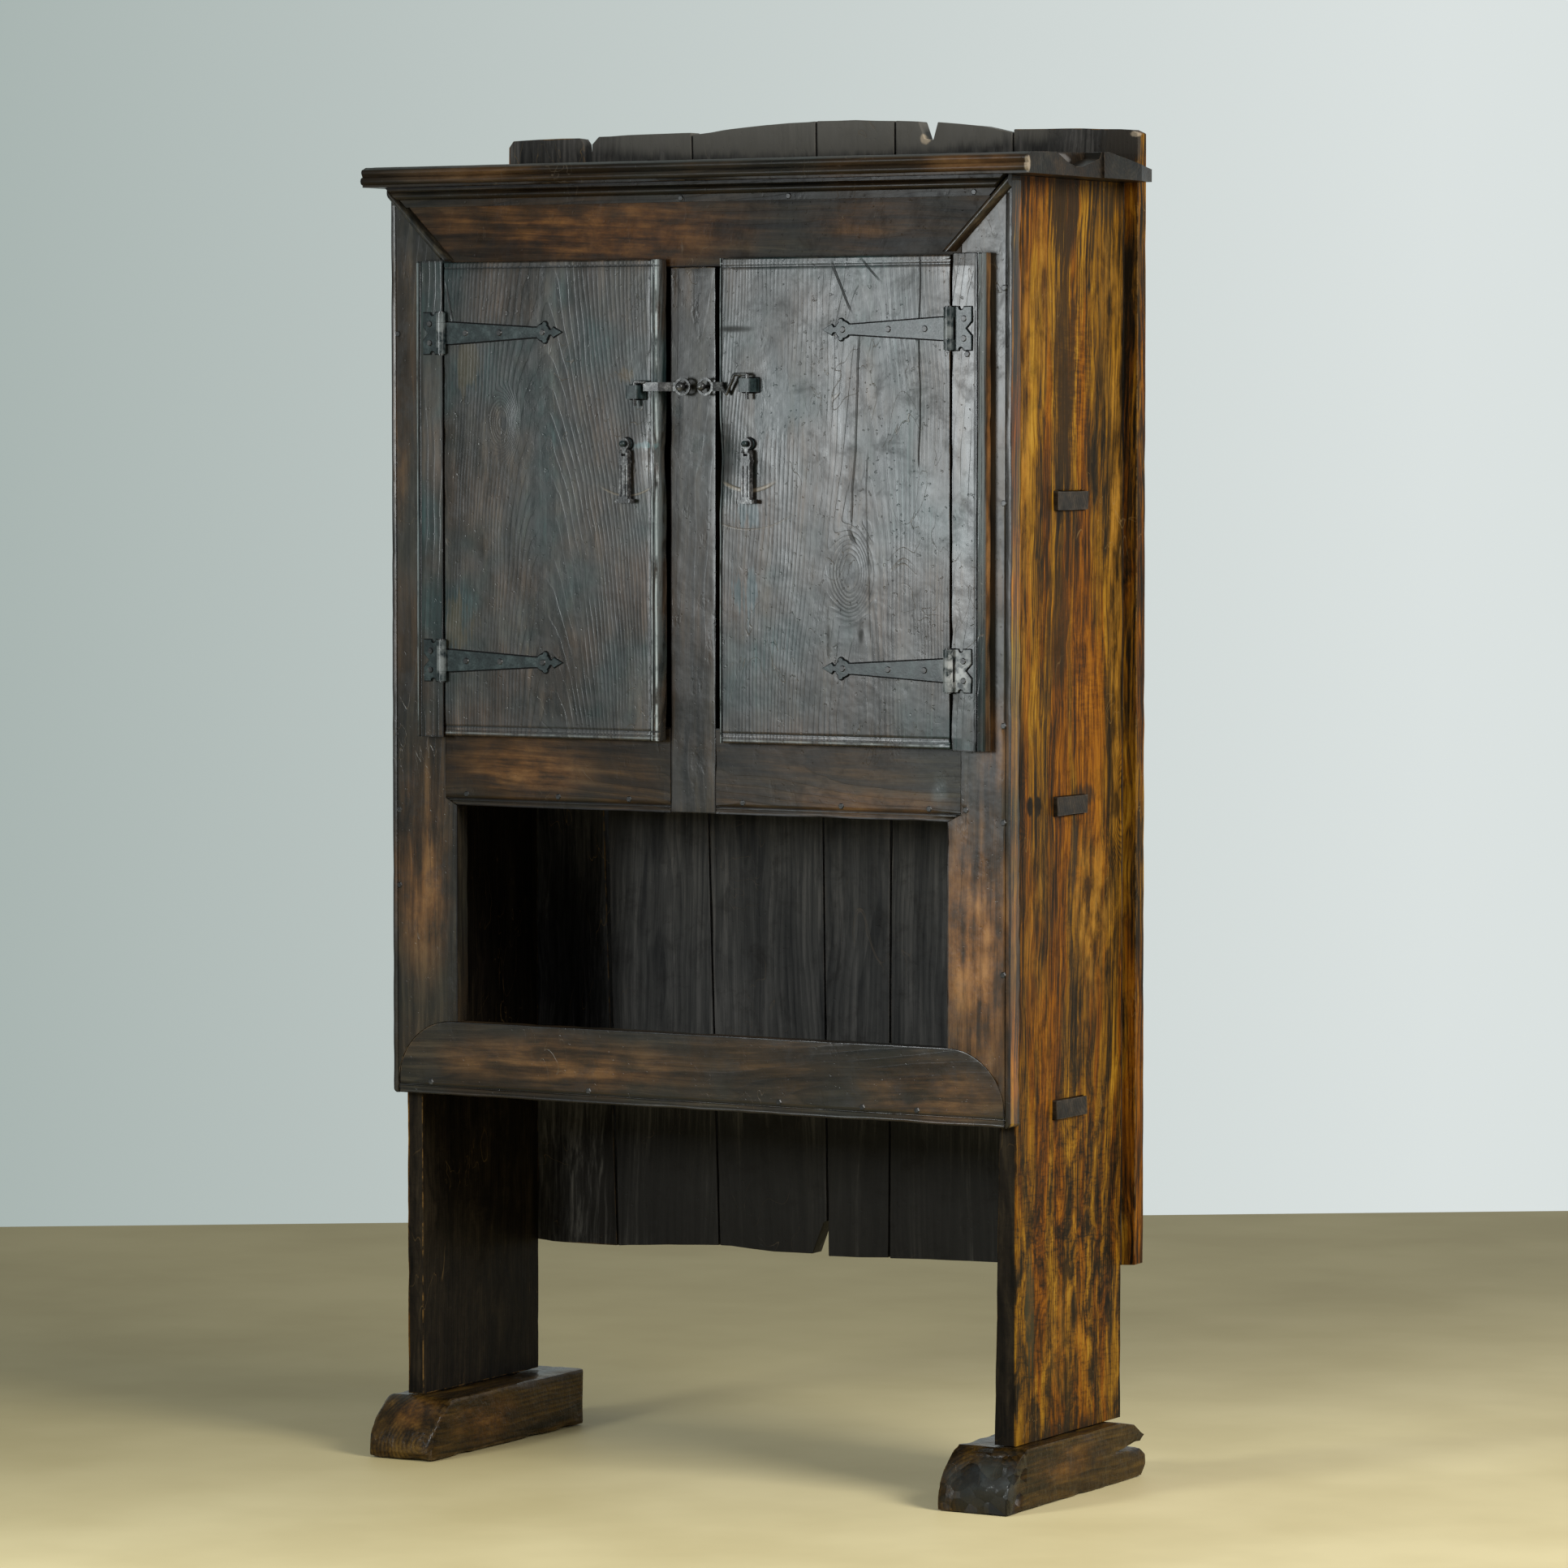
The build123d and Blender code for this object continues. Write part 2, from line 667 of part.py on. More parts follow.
def corner_bead(hand):
    """Half-round strip planted over the mitre between stile and top rail."""
    low_z = door_top + strip_margin + 2
    low_x = half_width + corner_reach - (case_top - low_z)
    with BuildPart() as bead:
        start = point(hand * low_x, 0, low_z)
        along = Plane(origin=start, x_dir=(0, -1, 0), z_dir=(hand * sin(radians(45)), 0, cos(radians(45))))
        with BuildSketch(along.offset(-corner_bead_width)):
            Ellipse(corner_bead_proud, corner_bead_width / 2)
            with Locations((-corner_bead_proud, 0)):
                Rectangle(2 * corner_bead_proud, 2 * corner_bead_width, mode=Mode.SUBTRACT)
        extrude(amount=(case_top - low_z) * sqrt(2) + 2 * corner_bead_width)
        with BuildSketch(at_depth(0)):
            with Locations((hand * half_width / 2, (case_top + low_z) / 2)):
                Rectangle(half_width, case_top - low_z)
        extrude(amount=corner_bead_proud, mode=Mode.INTERSECT)
    return bead


keep(corner_bead(-1), "corner_bead_left")
keep(corner_bead(1), "corner_bead_right")


# ---------------------------------------------------------------- hinge strips and doors
def strap_screw_places(hand, axis):
    """Screw places of both straps of one door."""
    levels = (hinge_upper_level, hinge_lower_level)
    return [(hand * (axis - step), level) for level in levels for step in strap_screw_steps]


def plate_screw_places(hand, axis):
    """Screw places of both hinge plates of one strip."""
    x = hand * (axis + plate_screw_step)
    levels = (hinge_upper_level, hinge_lower_level)
    return [(x, level + rise) for level in levels for rise in (-plate_screw_rise, plate_screw_rise)]


def hinge_strip(hand, axis):
    """Strip nailed on a stile, level with the doors, that carries the hinge plates."""
    inner = axis + door_gap / 2
    with BuildPart() as strip:
        with BuildSketch(at_depth(0)):
            with Locations((hand * (inner + strip_width / 2), (door_bottom + door_top) / 2)):
                Rectangle(strip_width, door_top - door_bottom + 2 * strip_margin)
        extrude(amount=door_proud)
        outer_edges = strip.edges().filter_by(Axis.Z).group_by(Axis.Y)[0].sort_by(Axis.X)
        fillet(outer_edges[-1] if hand > 0 else outer_edges[0], 3)
        bead_x = hand * (inner + strip_width - bead_step)
        bead_line(bead_x, bead_x, door_bottom - strip_margin, door_top + strip_margin, -door_proud)
        drill(strip_nail_places, -door_proud, door_proud, nail_radius)
        drill(plate_screw_places(hand, axis), -door_proud, screw_length, screw_radius)
    return strip


keep(hinge_strip(-1, hinge_axis_left), "hinge_strip_left")
keep(hinge_strip(1, hinge_axis_right), "hinge_strip_right")


def door(hand, axis, free_edge, pull_x, latch_x, latch_z):
    """Plank door with beads scratched along its top, bottom and free edges."""
    hinge_edge = hand * (axis - door_gap / 2)
    free_edge *= hand
    low_x, high_x = sorted((hinge_edge, free_edge))
    with BuildPart() as leaf:
        with BuildSketch(at_depth(door_thick - door_proud)):
            with Locations(((low_x + high_x) / 2, (door_bottom + door_top) / 2)):
                Rectangle(high_x - low_x, door_top - door_bottom)
        extrude(amount=door_thick)
        face_edges = leaf.faces().sort_by(Axis.Y)[0].edges()
        uprights = face_edges.filter_by(Axis.Z).sort_by(Axis.X)
        free_upright = uprights[0] if hand > 0 else uprights[-1]
        fillet(face_edges.filter_by(Axis.X) + [free_upright], 2.5)
        bead_x = free_edge + hand * bead_step
        bead_line(bead_x, bead_x, door_bottom, door_top, -door_proud)
        for bead_z in (door_bottom + bead_step, door_top - bead_step):
            bead_line(low_x, high_x, bead_z, bead_z, -door_proud)
        drill(strap_screw_places(hand, axis), -door_proud, screw_length, screw_radius)
        drill([(pull_x, pull_level)], -door_proud, door_thick, pull_shank_radius)
        drill([(latch_x, latch_z)], -door_proud, bracket_tang, hasp_rod_radius)
    return leaf


bracket_left_middle = bracket_left_bottom + bracket_height / 2
bracket_right_middle = bracket_right_bottom + bracket_height / 2
keep(
    door(-1, hinge_axis_left, door_left_edge, pull_left_x, latch_pin_left_x, bracket_left_middle),
    "door_left",
)
keep(
    door(1, hinge_axis_right, door_right_edge, pull_right_x, latch_pin_right_x, bracket_right_middle),
    "door_right",
)


# ---------------------------------------------------------------- strap hinges
def knuckle(x, low_z, height):
    """Hinge knuckle round a hinge axis."""
    with BuildSketch(plan.offset(low_z)) as ring:
        with Locations((x, -hinge_reach)):
            Circle(barrel_radius)
    extrude(ring.sketch, amount=height)


def pin_bore(x, low_z, height):
    """Bore for the hinge pin."""
    with BuildSketch(plan.offset(low_z)) as bore:
        with Locations((x, -hinge_reach)):
            Circle(hinge_pin_radius + running_clearance)
    extrude(bore.sketch, amount=height, mode=Mode.SUBTRACT)


def strap(hand, axis, level):
    """Tapered strap with a lobed disc and a spear point, and one knuckle at its root."""

    def place(step, rise):
        return (hand * (axis - step), level + rise)

    half_root, half_tip = strap_knuckle / 2, strap_tip_width / 2
    with BuildPart() as leaf:
        with BuildSketch(at_depth(-door_proud)):
            Polygon(
                place(0, half_root),
                place(2 * barrel_radius, half_root),
                place(strap_neck, half_tip),
                place(strap_disc, half_tip),
                place(strap_disc, -half_tip),
                place(strap_neck, -half_tip),
                place(2 * barrel_radius, -half_root),
                place(0, -half_root),
                align=None,
            )
            with Locations(place(strap_disc, 0)):
                Circle(strap_disc_radius)
            with Locations(place(strap_disc + 3, strap_disc_radius), place(strap_disc + 3, -strap_disc_radius)):
                Circle(strap_disc_radius * 0.3)
            Polygon(
                place(strap_disc, 5),
                place(strap_length - 15, 2.5),
                place(strap_length - 12, 6),
                place(strap_length - 6, 3),
                place(strap_length, 0),
                place(strap_length - 6, -3),
                place(strap_length - 12, -6),
                place(strap_length - 15, -2.5),
                place(strap_disc, -5),
                align=None,
            )
        extrude(amount=iron_thick)
        knuckle(hand * axis, level - half_root, strap_knuckle)
        pin_bore(hand * axis, level - half_root, strap_knuckle)
        drill(
            [place(step, 0) for step in strap_screw_steps], -door_proud - iron_thick, iron_thick, screw_radius
        )
    return leaf


def hinge_plate(hand, axis, level):
    """Butterfly plate screwed to the hinge strip, with a knuckle above and below the strap's."""

    def place(step, rise):
        return (hand * (axis + step), level + rise)

    half_plate = plate_height / 2
    half_root = strap_knuckle / 2 + knuckle_gap
    relief = barrel_radius + 1
    with BuildPart() as plate:
        with BuildSketch(at_depth(-door_proud)):
            Polygon(
                place(0, half_plate),
                place(plate_width, half_plate),
                place(plate_width, plate_screw_rise - 3),
                place(plate_width - 8, 0),
                place(plate_width, 3 - plate_screw_rise),
                place(plate_width, -half_plate),
                place(0, -half_plate),
                place(0, -half_root),
                place(relief, -half_root),
                place(relief, half_root),
                place(0, half_root),
                align=None,
            )
            with Locations(place(plate_screw_step - 4, half_plate), place(plate_screw_step - 4, -half_plate)):
                Circle(4, mode=Mode.SUBTRACT)
        extrude(amount=iron_thick)
        for low_z in (level + half_root, level - half_plate):
            knuckle(hand * axis, low_z, half_plate - half_root)
            pin_bore(hand * axis, low_z, half_plate - half_root)
        places = [place(plate_screw_step, rise) for rise in (-plate_screw_rise, plate_screw_rise)]
        drill(places, -door_proud - iron_thick, iron_thick, screw_radius)
    return plate


def hinge_pin(hand, axis, level):
    """Pin through the three knuckles, headed at both ends."""
    with BuildPart() as pin:
        with BuildSketch(plan.offset(level - plate_height / 2)):
            with Locations((hand * axis, -hinge_reach)):
                Circle(hinge_pin_radius)
        extrude(amount=plate_height)
        for low_z in (level + plate_height / 2, level - plate_height / 2 - pin_head_height):
            with BuildSketch(plan.offset(low_z)):
                with Locations((hand * axis, -hinge_reach)):
                    Circle(pin_head_radius)
            extrude(amount=pin_head_height)
    return pin


hinges = {
    "left_upper": (-1, hinge_axis_left, hinge_upper_level),
    "left_lower": (-1, hinge_axis_left, hinge_lower_level),
    "right_upper": (1, hinge_axis_right, hinge_upper_level),
    "right_lower": (1, hinge_axis_right, hinge_lower_level),
}
for hinge_name, hinge in hinges.items():
    keep(strap(*hinge), f"strap_{hinge_name}")
    keep(hinge_plate(*hinge), f"hinge_plate_{hinge_name}")
    keep(hinge_pin(*hinge), f"hinge_pin_{hinge_name}")


# ---------------------------------------------------------------- screws and nails
def screws(places):
    """Round-headed screws through the iron into the wood behind it."""
    with BuildPart() as group:
        with BuildSketch(at_depth(-door_proud - iron_thick)):
            with Locations(*places):
                Circle(screw_head_radius)
        extrude(amount=screw_head_height, taper=30)
        with BuildSketch(at_depth(-door_proud - iron_thick)):
            with Locations(*places):
                Circle(screw_radius)
        extrude(amount=-(screw_length + iron_thick))
    return group


def nails(places, face_depth, length, forwards=True):
    """Forged nails with low six-sided heads, driven in at the face at this depth."""
    way = 1 if forwards else -1
    with BuildPart() as group:
        with BuildSketch(at_depth(face_depth)):
            with Locations(*places):
                RegularPolygon(nail_head_radius, 6)
        extrude(amount=way * nail_head_height, taper=35)
        with BuildSketch(at_depth(face_depth)):
            with Locations(*places):
                Circle(nail_radius)
        extrude(amount=-way * length)
    return group


keep(screws(strap_screw_places(-1, hinge_axis_left)), "strap_screws_left")
keep(screws(strap_screw_places(1, hinge_axis_right)), "strap_screws_right")
keep(
    screws(plate_screw_places(-1, hinge_axis_left) + plate_screw_places(1, hinge_axis_right)),
    "plate_screws",
)
keep(nails(frame_nail_places, 0, nail_length), "frame_nails")
keep(nails(moulding_nail_places, -moulding_fillet, moulding_nail_length), "moulding_nails")
keep(nails(strip_nail_places, -door_proud, strip_nail_length), "strip_nail")
keep(nails(back_nail_places, back_face, nail_length, forwards=False), "back_nails")


# ---------------------------------------------------------------- latches
def latch_stud(x):
    """Ball-headed stud in the muntin."""
    with BuildPart() as stud:
        with BuildSketch(at_depth(stud_seat)):
            with Locations((x, latch_level)):
                Circle(stud_neck_radius)
        extrude(amount=stud_seat + stud_ball_reach)
        with Locations(point(x, -stud_ball_reach, latch_level)):
            Sphere(stud_ball_radius)
    return stud


def latch_bracket(x, low_z):
    """Forged block on a foot plate, bored upright for the hasp's rod, with a tang in the door."""
    with BuildPart() as bracket:
        with BuildSketch(plan.offset(low_z)):
            with Locations((x, -door_proud - bracket_depth / 2)):
                Rectangle(bracket_width, bracket_depth)
        extrude(amount=bracket_height)
        fillet(bracket.edges().filter_by(Axis.Z).group_by(Axis.Y)[0], 2)
        with BuildSketch(at_depth(-door_proud)):
            with Locations((x, low_z + bracket_height / 2)):
                Rectangle(bracket_foot, bracket_height)
        extrude(amount=iron_thick)
        with BuildSketch(at_depth(-door_proud)):
            with Locations((x, low_z + bracket_height / 2)):
                Circle(hasp_rod_radius)
        extrude(amount=-bracket_tang)
        with BuildSketch(plan.offset(low_z)):
            with Locations((x, -latch_pin_reach)):
                Circle(hasp_rod_radius + running_clearance)
        extrude(amount=bracket_height, mode=Mode.SUBTRACT)
    return bracket


def hasp(hand, stud_x, pin_x, bar_steps, rod_route):
    """Latch hasp: a ring over the stud, a flat bent bar and a rod that drops through the bracket.

    bar_steps are (distance from the ring's middle towards the bracket, reach ahead of the frame),
    rod_route is the rod's line as (x, reach, z), from the bar to its lower end.
    """
    ring_x = stud_x + hand * hasp_ring_offset
    ring_middle = hasp_ring_reach + hasp_thick / 2
    with BuildPart() as latch:
        with BuildSketch(at_depth(-hasp_ring_reach)):
            with Locations((ring_x, latch_level)):
                Circle(hasp_ring_radius)
                Circle(hasp_hole_radius, mode=Mode.SUBTRACT)
        extrude(amount=hasp_thick)
        ring_edge = (hasp_ring_radius + hasp_hole_radius) / 2
        route = [(ring_edge, ring_middle)] + bar_steps
        with BuildSketch(plan.offset(latch_level - hasp_height / 2)):
            with BuildLine():
                Polyline(*[(ring_x + hand * step, -reach) for step, reach in route])
            trace(line_width=hasp_thick)
        extrude(amount=hasp_height)
        with BuildLine():
            line = Polyline(*[point(x, -reach, z) for x, reach, z in rod_route])
        with BuildSketch(Plane(origin=line @ 0, z_dir=line % 0)):
            Circle(hasp_rod_radius)
        sweep(transition=Transition.ROUND)
    return latch


rod_over_left = bracket_left_bottom + bracket_height + hasp_rod_radius + 1.5
rod_over_right = bracket_right_bottom + bracket_height + hasp_rod_radius + 2.5
hasp_left_steps = [(14, 13), (28, 26.5), (46.5, 30.5)]
hasp_left_rod = [
    (latch_pin_left_x + 15, 30.5, rod_over_left),
    (latch_pin_left_x, latch_pin_reach, rod_over_left),
    (latch_pin_left_x, latch_pin_reach, bracket_left_bottom - hasp_pin_drop),
]
hasp_right_steps = [(12, 13), (21, 27), (34, 28.5)]
hasp_right_rod = [
    (stud_right_x + 33, 28.4, latch_level - 1),
    (stud_right_x + 41, 29, latch_level - 9),
    (stud_right_x + 53, 30.5, rod_over_right),
    (latch_pin_right_x, latch_pin_reach, rod_over_right),
    (latch_pin_right_x, latch_pin_reach, bracket_right_bottom - hasp_pin_drop),
]
keep(latch_stud(stud_left_x), "latch_stud_left")
keep(latch_stud(stud_right_x), "latch_stud_right")
keep(latch_bracket(latch_pin_left_x, bracket_left_bottom), "latch_bracket_left")
keep(latch_bracket(latch_pin_right_x, bracket_right_bottom), "latch_bracket_right")
keep(hasp(-1, stud_left_x, latch_pin_left_x, hasp_left_steps, hasp_left_rod), "latch_hasp_left")
keep(hasp(1, stud_right_x, latch_pin_right_x, hasp_right_steps, hasp_right_rod), "latch_hasp_right")


# ---------------------------------------------------------------- drop pulls
def pull_staple(x):
    """Headed shank through the door, with a rose against the door's face."""
    head_reach = pull_axis_reach + pull_link_thick / 2 + knuckle_gap + pull_head_radius
    with BuildPart() as staple:
        with BuildSketch(at_depth(door_thick - door_proud)):
            with Locations((x, pull_level)):
                Circle(pull_shank_radius)
        extrude(amount=head_reach + door_thick - door_proud)
        with BuildSketch(at_depth(-door_proud)):
            with Locations((x, pull_level)):
                Circle(pull_rose_radius)
        extrude(amount=pull_rose_thick, taper=20)
        with Locations(point(x, -head_reach, pull_level)):
            Sphere(pull_head_radius)
    return staple


def pull_link(x):
    """Eye that swings on the staple, with a lug below for the bar."""
    back = pull_link_thick / 2 - pull_axis_reach
    with BuildPart() as link:
        with BuildSketch(at_depth(back)):
            with Locations((x, pull_level)):
                Circle(pull_eye_radius)
            with Locations((x, pull_level - pull_hinge_drop / 2)):
                Rectangle(pull_lug_width, pull_hinge_drop)
            with Locations((x, pull_level)):
                Circle(pull_shank_radius + running_clearance, mode=Mode.SUBTRACT)
        extrude(amount=pull_link_thick)
        with BuildSketch(side.offset(x - pull_lug_width / 2)):
            with Locations((-pull_axis_reach, pull_hinge_level)):
                Circle(pull_link_thick / 2)
        extrude(amount=pull_lug_width)
        with BuildSketch(side.offset(x - pull_lug_width / 2)):
            with Locations((-pull_axis_reach, pull_hinge_level)):
                Circle(pull_pin_radius + running_clearance)
        extrude(amount=pull_lug_width, mode=Mode.SUBTRACT)
    return link


def pull_bar(x):
    """Fluted bar forked over the link's lug, riveted through it, with a finger foot."""
    fork_gap = pull_lug_width + 2 * pull_fork_slack
    bar_top = pull_hinge_level
    bar_bottom = pull_hinge_level - pull_bar_length
    with BuildPart() as bar:
        with BuildSketch(side.offset(x - pull_bar_width / 2)):
            with Locations((-pull_axis_reach, pull_hinge_level)):
                Circle(pull_bar_depth / 2)
            with Locations((-pull_axis_reach, (bar_top + bar_bottom) / 2)):
                Rectangle(pull_bar_depth, bar_top - bar_bottom)
        extrude(amount=pull_bar_width)
        fork_height = pull_fork_floor + pull_bar_depth / 2
        with BuildSketch(side.offset(x - fork_gap / 2)):
            with Locations((-pull_axis_reach, pull_hinge_level - pull_fork_floor + fork_height / 2)):
                Rectangle(2 * pull_bar_depth, fork_height)
        extrude(amount=fork_gap, mode=Mode.SUBTRACT)
        with BuildSketch(side.offset(x - pull_bar_width / 2)):
            with Locations((-pull_axis_reach, pull_hinge_level)):
                Circle(pull_pin_radius)
        extrude(amount=pull_bar_width)
        with BuildSketch(plan.offset(bar_bottom)):
            with Locations((x, -pull_axis_reach - 1.5)):
                RectangleRounded(pull_foot_width, pull_foot_depth, 3)
        extrude(amount=pull_foot_thick)
        with BuildSketch(plan.offset(bar_top - 12)):
            with Locations((x, -pull_axis_reach)):
                Rectangle(pull_bar_width + 2, pull_bar_depth + 1)
        extrude(amount=4)
        flute = (bar_bottom + pull_foot_thick + 3, bar_top - 15)
        for step in (-3, 3):
            bead_line(x + step, x + step, *flute, -pull_axis_reach - pull_bar_depth / 2)
    return bar


for pull_name, pull_x in (("left", pull_left_x), ("right", pull_right_x)):
    keep(pull_staple(pull_x), f"pull_staple_{pull_name}")
    keep(pull_link(pull_x), f"pull_link_{pull_name}")
    keep(pull_bar(pull_x), f"pull_bar_{pull_name}")
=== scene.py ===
import math
import random
from functools import reduce

import bmesh
import bpy
from mathutils import Matrix, Vector, noise


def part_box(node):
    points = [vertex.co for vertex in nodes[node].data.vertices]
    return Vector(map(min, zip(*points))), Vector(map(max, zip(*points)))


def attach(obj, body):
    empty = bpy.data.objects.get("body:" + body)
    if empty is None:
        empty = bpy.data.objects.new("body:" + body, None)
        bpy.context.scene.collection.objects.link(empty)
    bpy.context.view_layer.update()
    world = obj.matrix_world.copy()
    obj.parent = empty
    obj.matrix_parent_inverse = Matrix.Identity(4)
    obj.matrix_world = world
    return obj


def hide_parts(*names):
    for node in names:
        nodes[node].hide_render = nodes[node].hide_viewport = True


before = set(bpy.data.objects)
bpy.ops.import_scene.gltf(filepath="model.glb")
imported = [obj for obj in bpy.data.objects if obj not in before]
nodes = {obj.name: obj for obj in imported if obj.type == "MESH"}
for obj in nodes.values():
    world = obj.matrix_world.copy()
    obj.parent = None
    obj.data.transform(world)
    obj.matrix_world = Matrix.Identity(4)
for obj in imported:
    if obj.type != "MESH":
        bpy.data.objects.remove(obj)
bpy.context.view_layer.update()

# The cupboard's own coordinates, in mm: x from the middle of the face frame, depth behind
# its face, z above the floor. The part's origin lies at x = 13.5, depth = 147.
MIDDLE_X, FACE_Y = -13.5, -147.0
SIDE_X = 446  # the side boards' outer faces, to both sides of the middle
DOOR_FACE = -22  # the doors stand proud of the face frame
BACK_FACE = 305  # the front of the back boards


def place(x, depth, z):
    """A point in metres in the part's frame."""
    return Vector((MIDDLE_X + x, FACE_Y + depth, z)) / 1000


def on_side(depth, z):
    """A point on the right side board's outer face."""
    return place(SIDE_X, depth, z)


def on_front(x, z):
    """A point on the face frame."""
    return place(x, 0, z)


def on_door(x, z):
    """A point on the doors' faces."""
    return place(x, DOOR_FACE, z)


def on_back(x, z):
    """A point on the back boards."""
    return place(x, BACK_FACE, z)


# ---------------------------------------------------------------- shader graphs
HALF = (0.5, 0.5, 0.5)
MIX_FACTOR, MIX_A, MIX_B, MIX_RESULT = 0, 6, 7, 2  # a Mix node's sockets for colours


class Graph:
    """The shader nodes of a material or a world. Inputs are sockets to link or values to set."""

    def __init__(self, owner):
        owner.use_nodes = True
        self.owner = owner
        self.tree = owner.node_tree
        self.tree.nodes.clear()

    def add(self, kind, inputs=(), output=0, **settings):
        node = self.tree.nodes.new(kind)
        for key, value in settings.items():
            setattr(node, key, value)
        for key, value in dict(inputs).items():
            if isinstance(value, bpy.types.NodeSocket):
                self.tree.links.new(value, node.inputs[key])
            else:
                node.inputs[key].default_value = value
        return node.outputs[output] if node.outputs else node

    def math(self, operation, a, b=0.0):
        return self.add("ShaderNodeMath", {0: a, 1: b}, operation=operation)

    def plus(self, a, b):
        return self.math("ADD", a, b)

    def minus(self, a, b):
        return self.math("SUBTRACT", a, b)

    def times(self, a, b):
        return self.math("MULTIPLY", a, b)

    def larger(self, a, b):
        return self.math("MAXIMUM", a, b)

    def vector(self, operation, a, b=(0, 0, 0), output="Vector"):
        return self.add("ShaderNodeVectorMath", {0: a, 1: b}, output=output, operation=operation)

    def scaled(self, vector, scales):
        return self.vector("MULTIPLY", vector, scales)

    def length(self, vector):
        return self.vector("LENGTH", vector, output="Value")

    def step(self, value, low, high):
        """0 below low, 1 above high, smooth between (also downwards, when low is above high)."""
        inputs = {"Value": value, "From Min": low, "From Max": high}
        return self.add("ShaderNodeMapRange", inputs, interpolation_type="SMOOTHSTEP")

    def noise(self, vector, scale, detail=3.0, rough=0.5, distortion=0.0, output=0):
        inputs = {"Vector": vector, "Scale": scale, "Detail": detail, "Roughness": rough}
        inputs["Distortion"] = distortion
        return self.add("ShaderNodeTexNoise", inputs, output=output)

    def stretched(self, vector, scales, detail=3.0, rough=0.5, distortion=0.0, output=0):
        """Noise with its own scale along each axis."""
        return self.noise(self.scaled(vector, scales), 1.0, detail, rough, distortion, output)

    def mix(self, factor, a, b, blend="MIX"):
        """Colours a and b, mixed or blended by the factor."""
        inputs = {MIX_FACTOR: factor}
        for socket, value in ((MIX_A, a), (MIX_B, b)):
            inputs[socket] = value if isinstance(value, bpy.types.NodeSocket) else (*value, 1.0)
        return self.add("ShaderNodeMix", inputs, MIX_RESULT, data_type="RGBA", blend_type=blend)

    def ramp(self, value, stops):
        """The colour at a value, between stops that are (position, colour)."""
        colour = self.add("ShaderNodeValToRGB", {0: value})
        elements = colour.node.color_ramp.elements
        for index, (position, stop_colour) in enumerate(stops):
            element = elements[index] if index < 2 else elements.new(position)
            element.position = position
            element.color = (*stop_colour, 1.0)
        return colour


class Surface(Graph):
    """A material that knows where it is on the cupboard, so that marks lie where they're put."""

    def __init__(self, name):
        super().__init__(bpy.data.materials.new(name))
        self.position = self.add("ShaderNodeTexCoord", output="Object")

    def along(self, axis):
        """The x, y or z of the surface, in metres."""
        return self.add("ShaderNodeSeparateXYZ", {0: self.position}, output=axis)

    def blob(self, middle, size):
        """1 in the middle of an ellipsoid, falling smoothly to 0 at its surface. size is in mm."""
        offset = self.vector("SUBTRACT", self.position, tuple(middle))
        scaled = self.vector("DIVIDE", offset, tuple(v / 1000 for v in size))
        return self.step(self.length(scaled), 1.0, 0.15)

    def mask(self, places):
        """The strongest of several soft spots, each (middle, size in mm, strength)."""
        return reduce(self.larger, [self.times(self.blob(middle, size), strength)
                                    for middle, size, strength in places])

    def bump(self, height, unit):
        """The surface's normal where it has a height, in units of the given metres."""
        return self.add("ShaderNodeBump", {"Height": height, "Strength": 1.0, "Distance": unit})

    def finish(self, inputs):
        """The material, with one Principled shader that has the given inputs."""
        shader = self.add("ShaderNodeBsdfPrincipled", inputs)
        self.add("ShaderNodeOutputMaterial", {"Surface": shader})
        return self.owner


# ---------------------------------------------------------------- wood
GRAIN_TURN = {"Z": (0, 0, 0), "X": (0, math.radians(-90), 0), "Y": (math.radians(90), 0, 0)}
# soot, and also painted shade where it darkens hollows and the boards low down
SOOT_AND_SHADE = (0.006, 0.005, 0.004)
BARE = (0.42, 0.34, 0.24)
GRIME = (0.008, 0.006, 0.005)
OUTLINE = (0.004, 0.003, 0.003)
# painted shade in the bottom of grooves
GROOVE_SHADE = (0.003, 0.003, 0.003)
CRACK = (0.003, 0.002, 0.002)
SCRAPED = (0.17, 0.135, 0.09)
# the colour of a painted highlight on the rounded beads
BEAD_HIGHLIGHT = (0.13, 0.15, 0.152)
# the colour of painted highlight lines along rubbed arrises
ARRIS_HIGHLIGHT = (0.34, 0.38, 0.38)
# the colour of a painted highlight on smooth, rubbed places
POLISHED_HIGHLIGHT = (0.090, 0.112, 0.116)


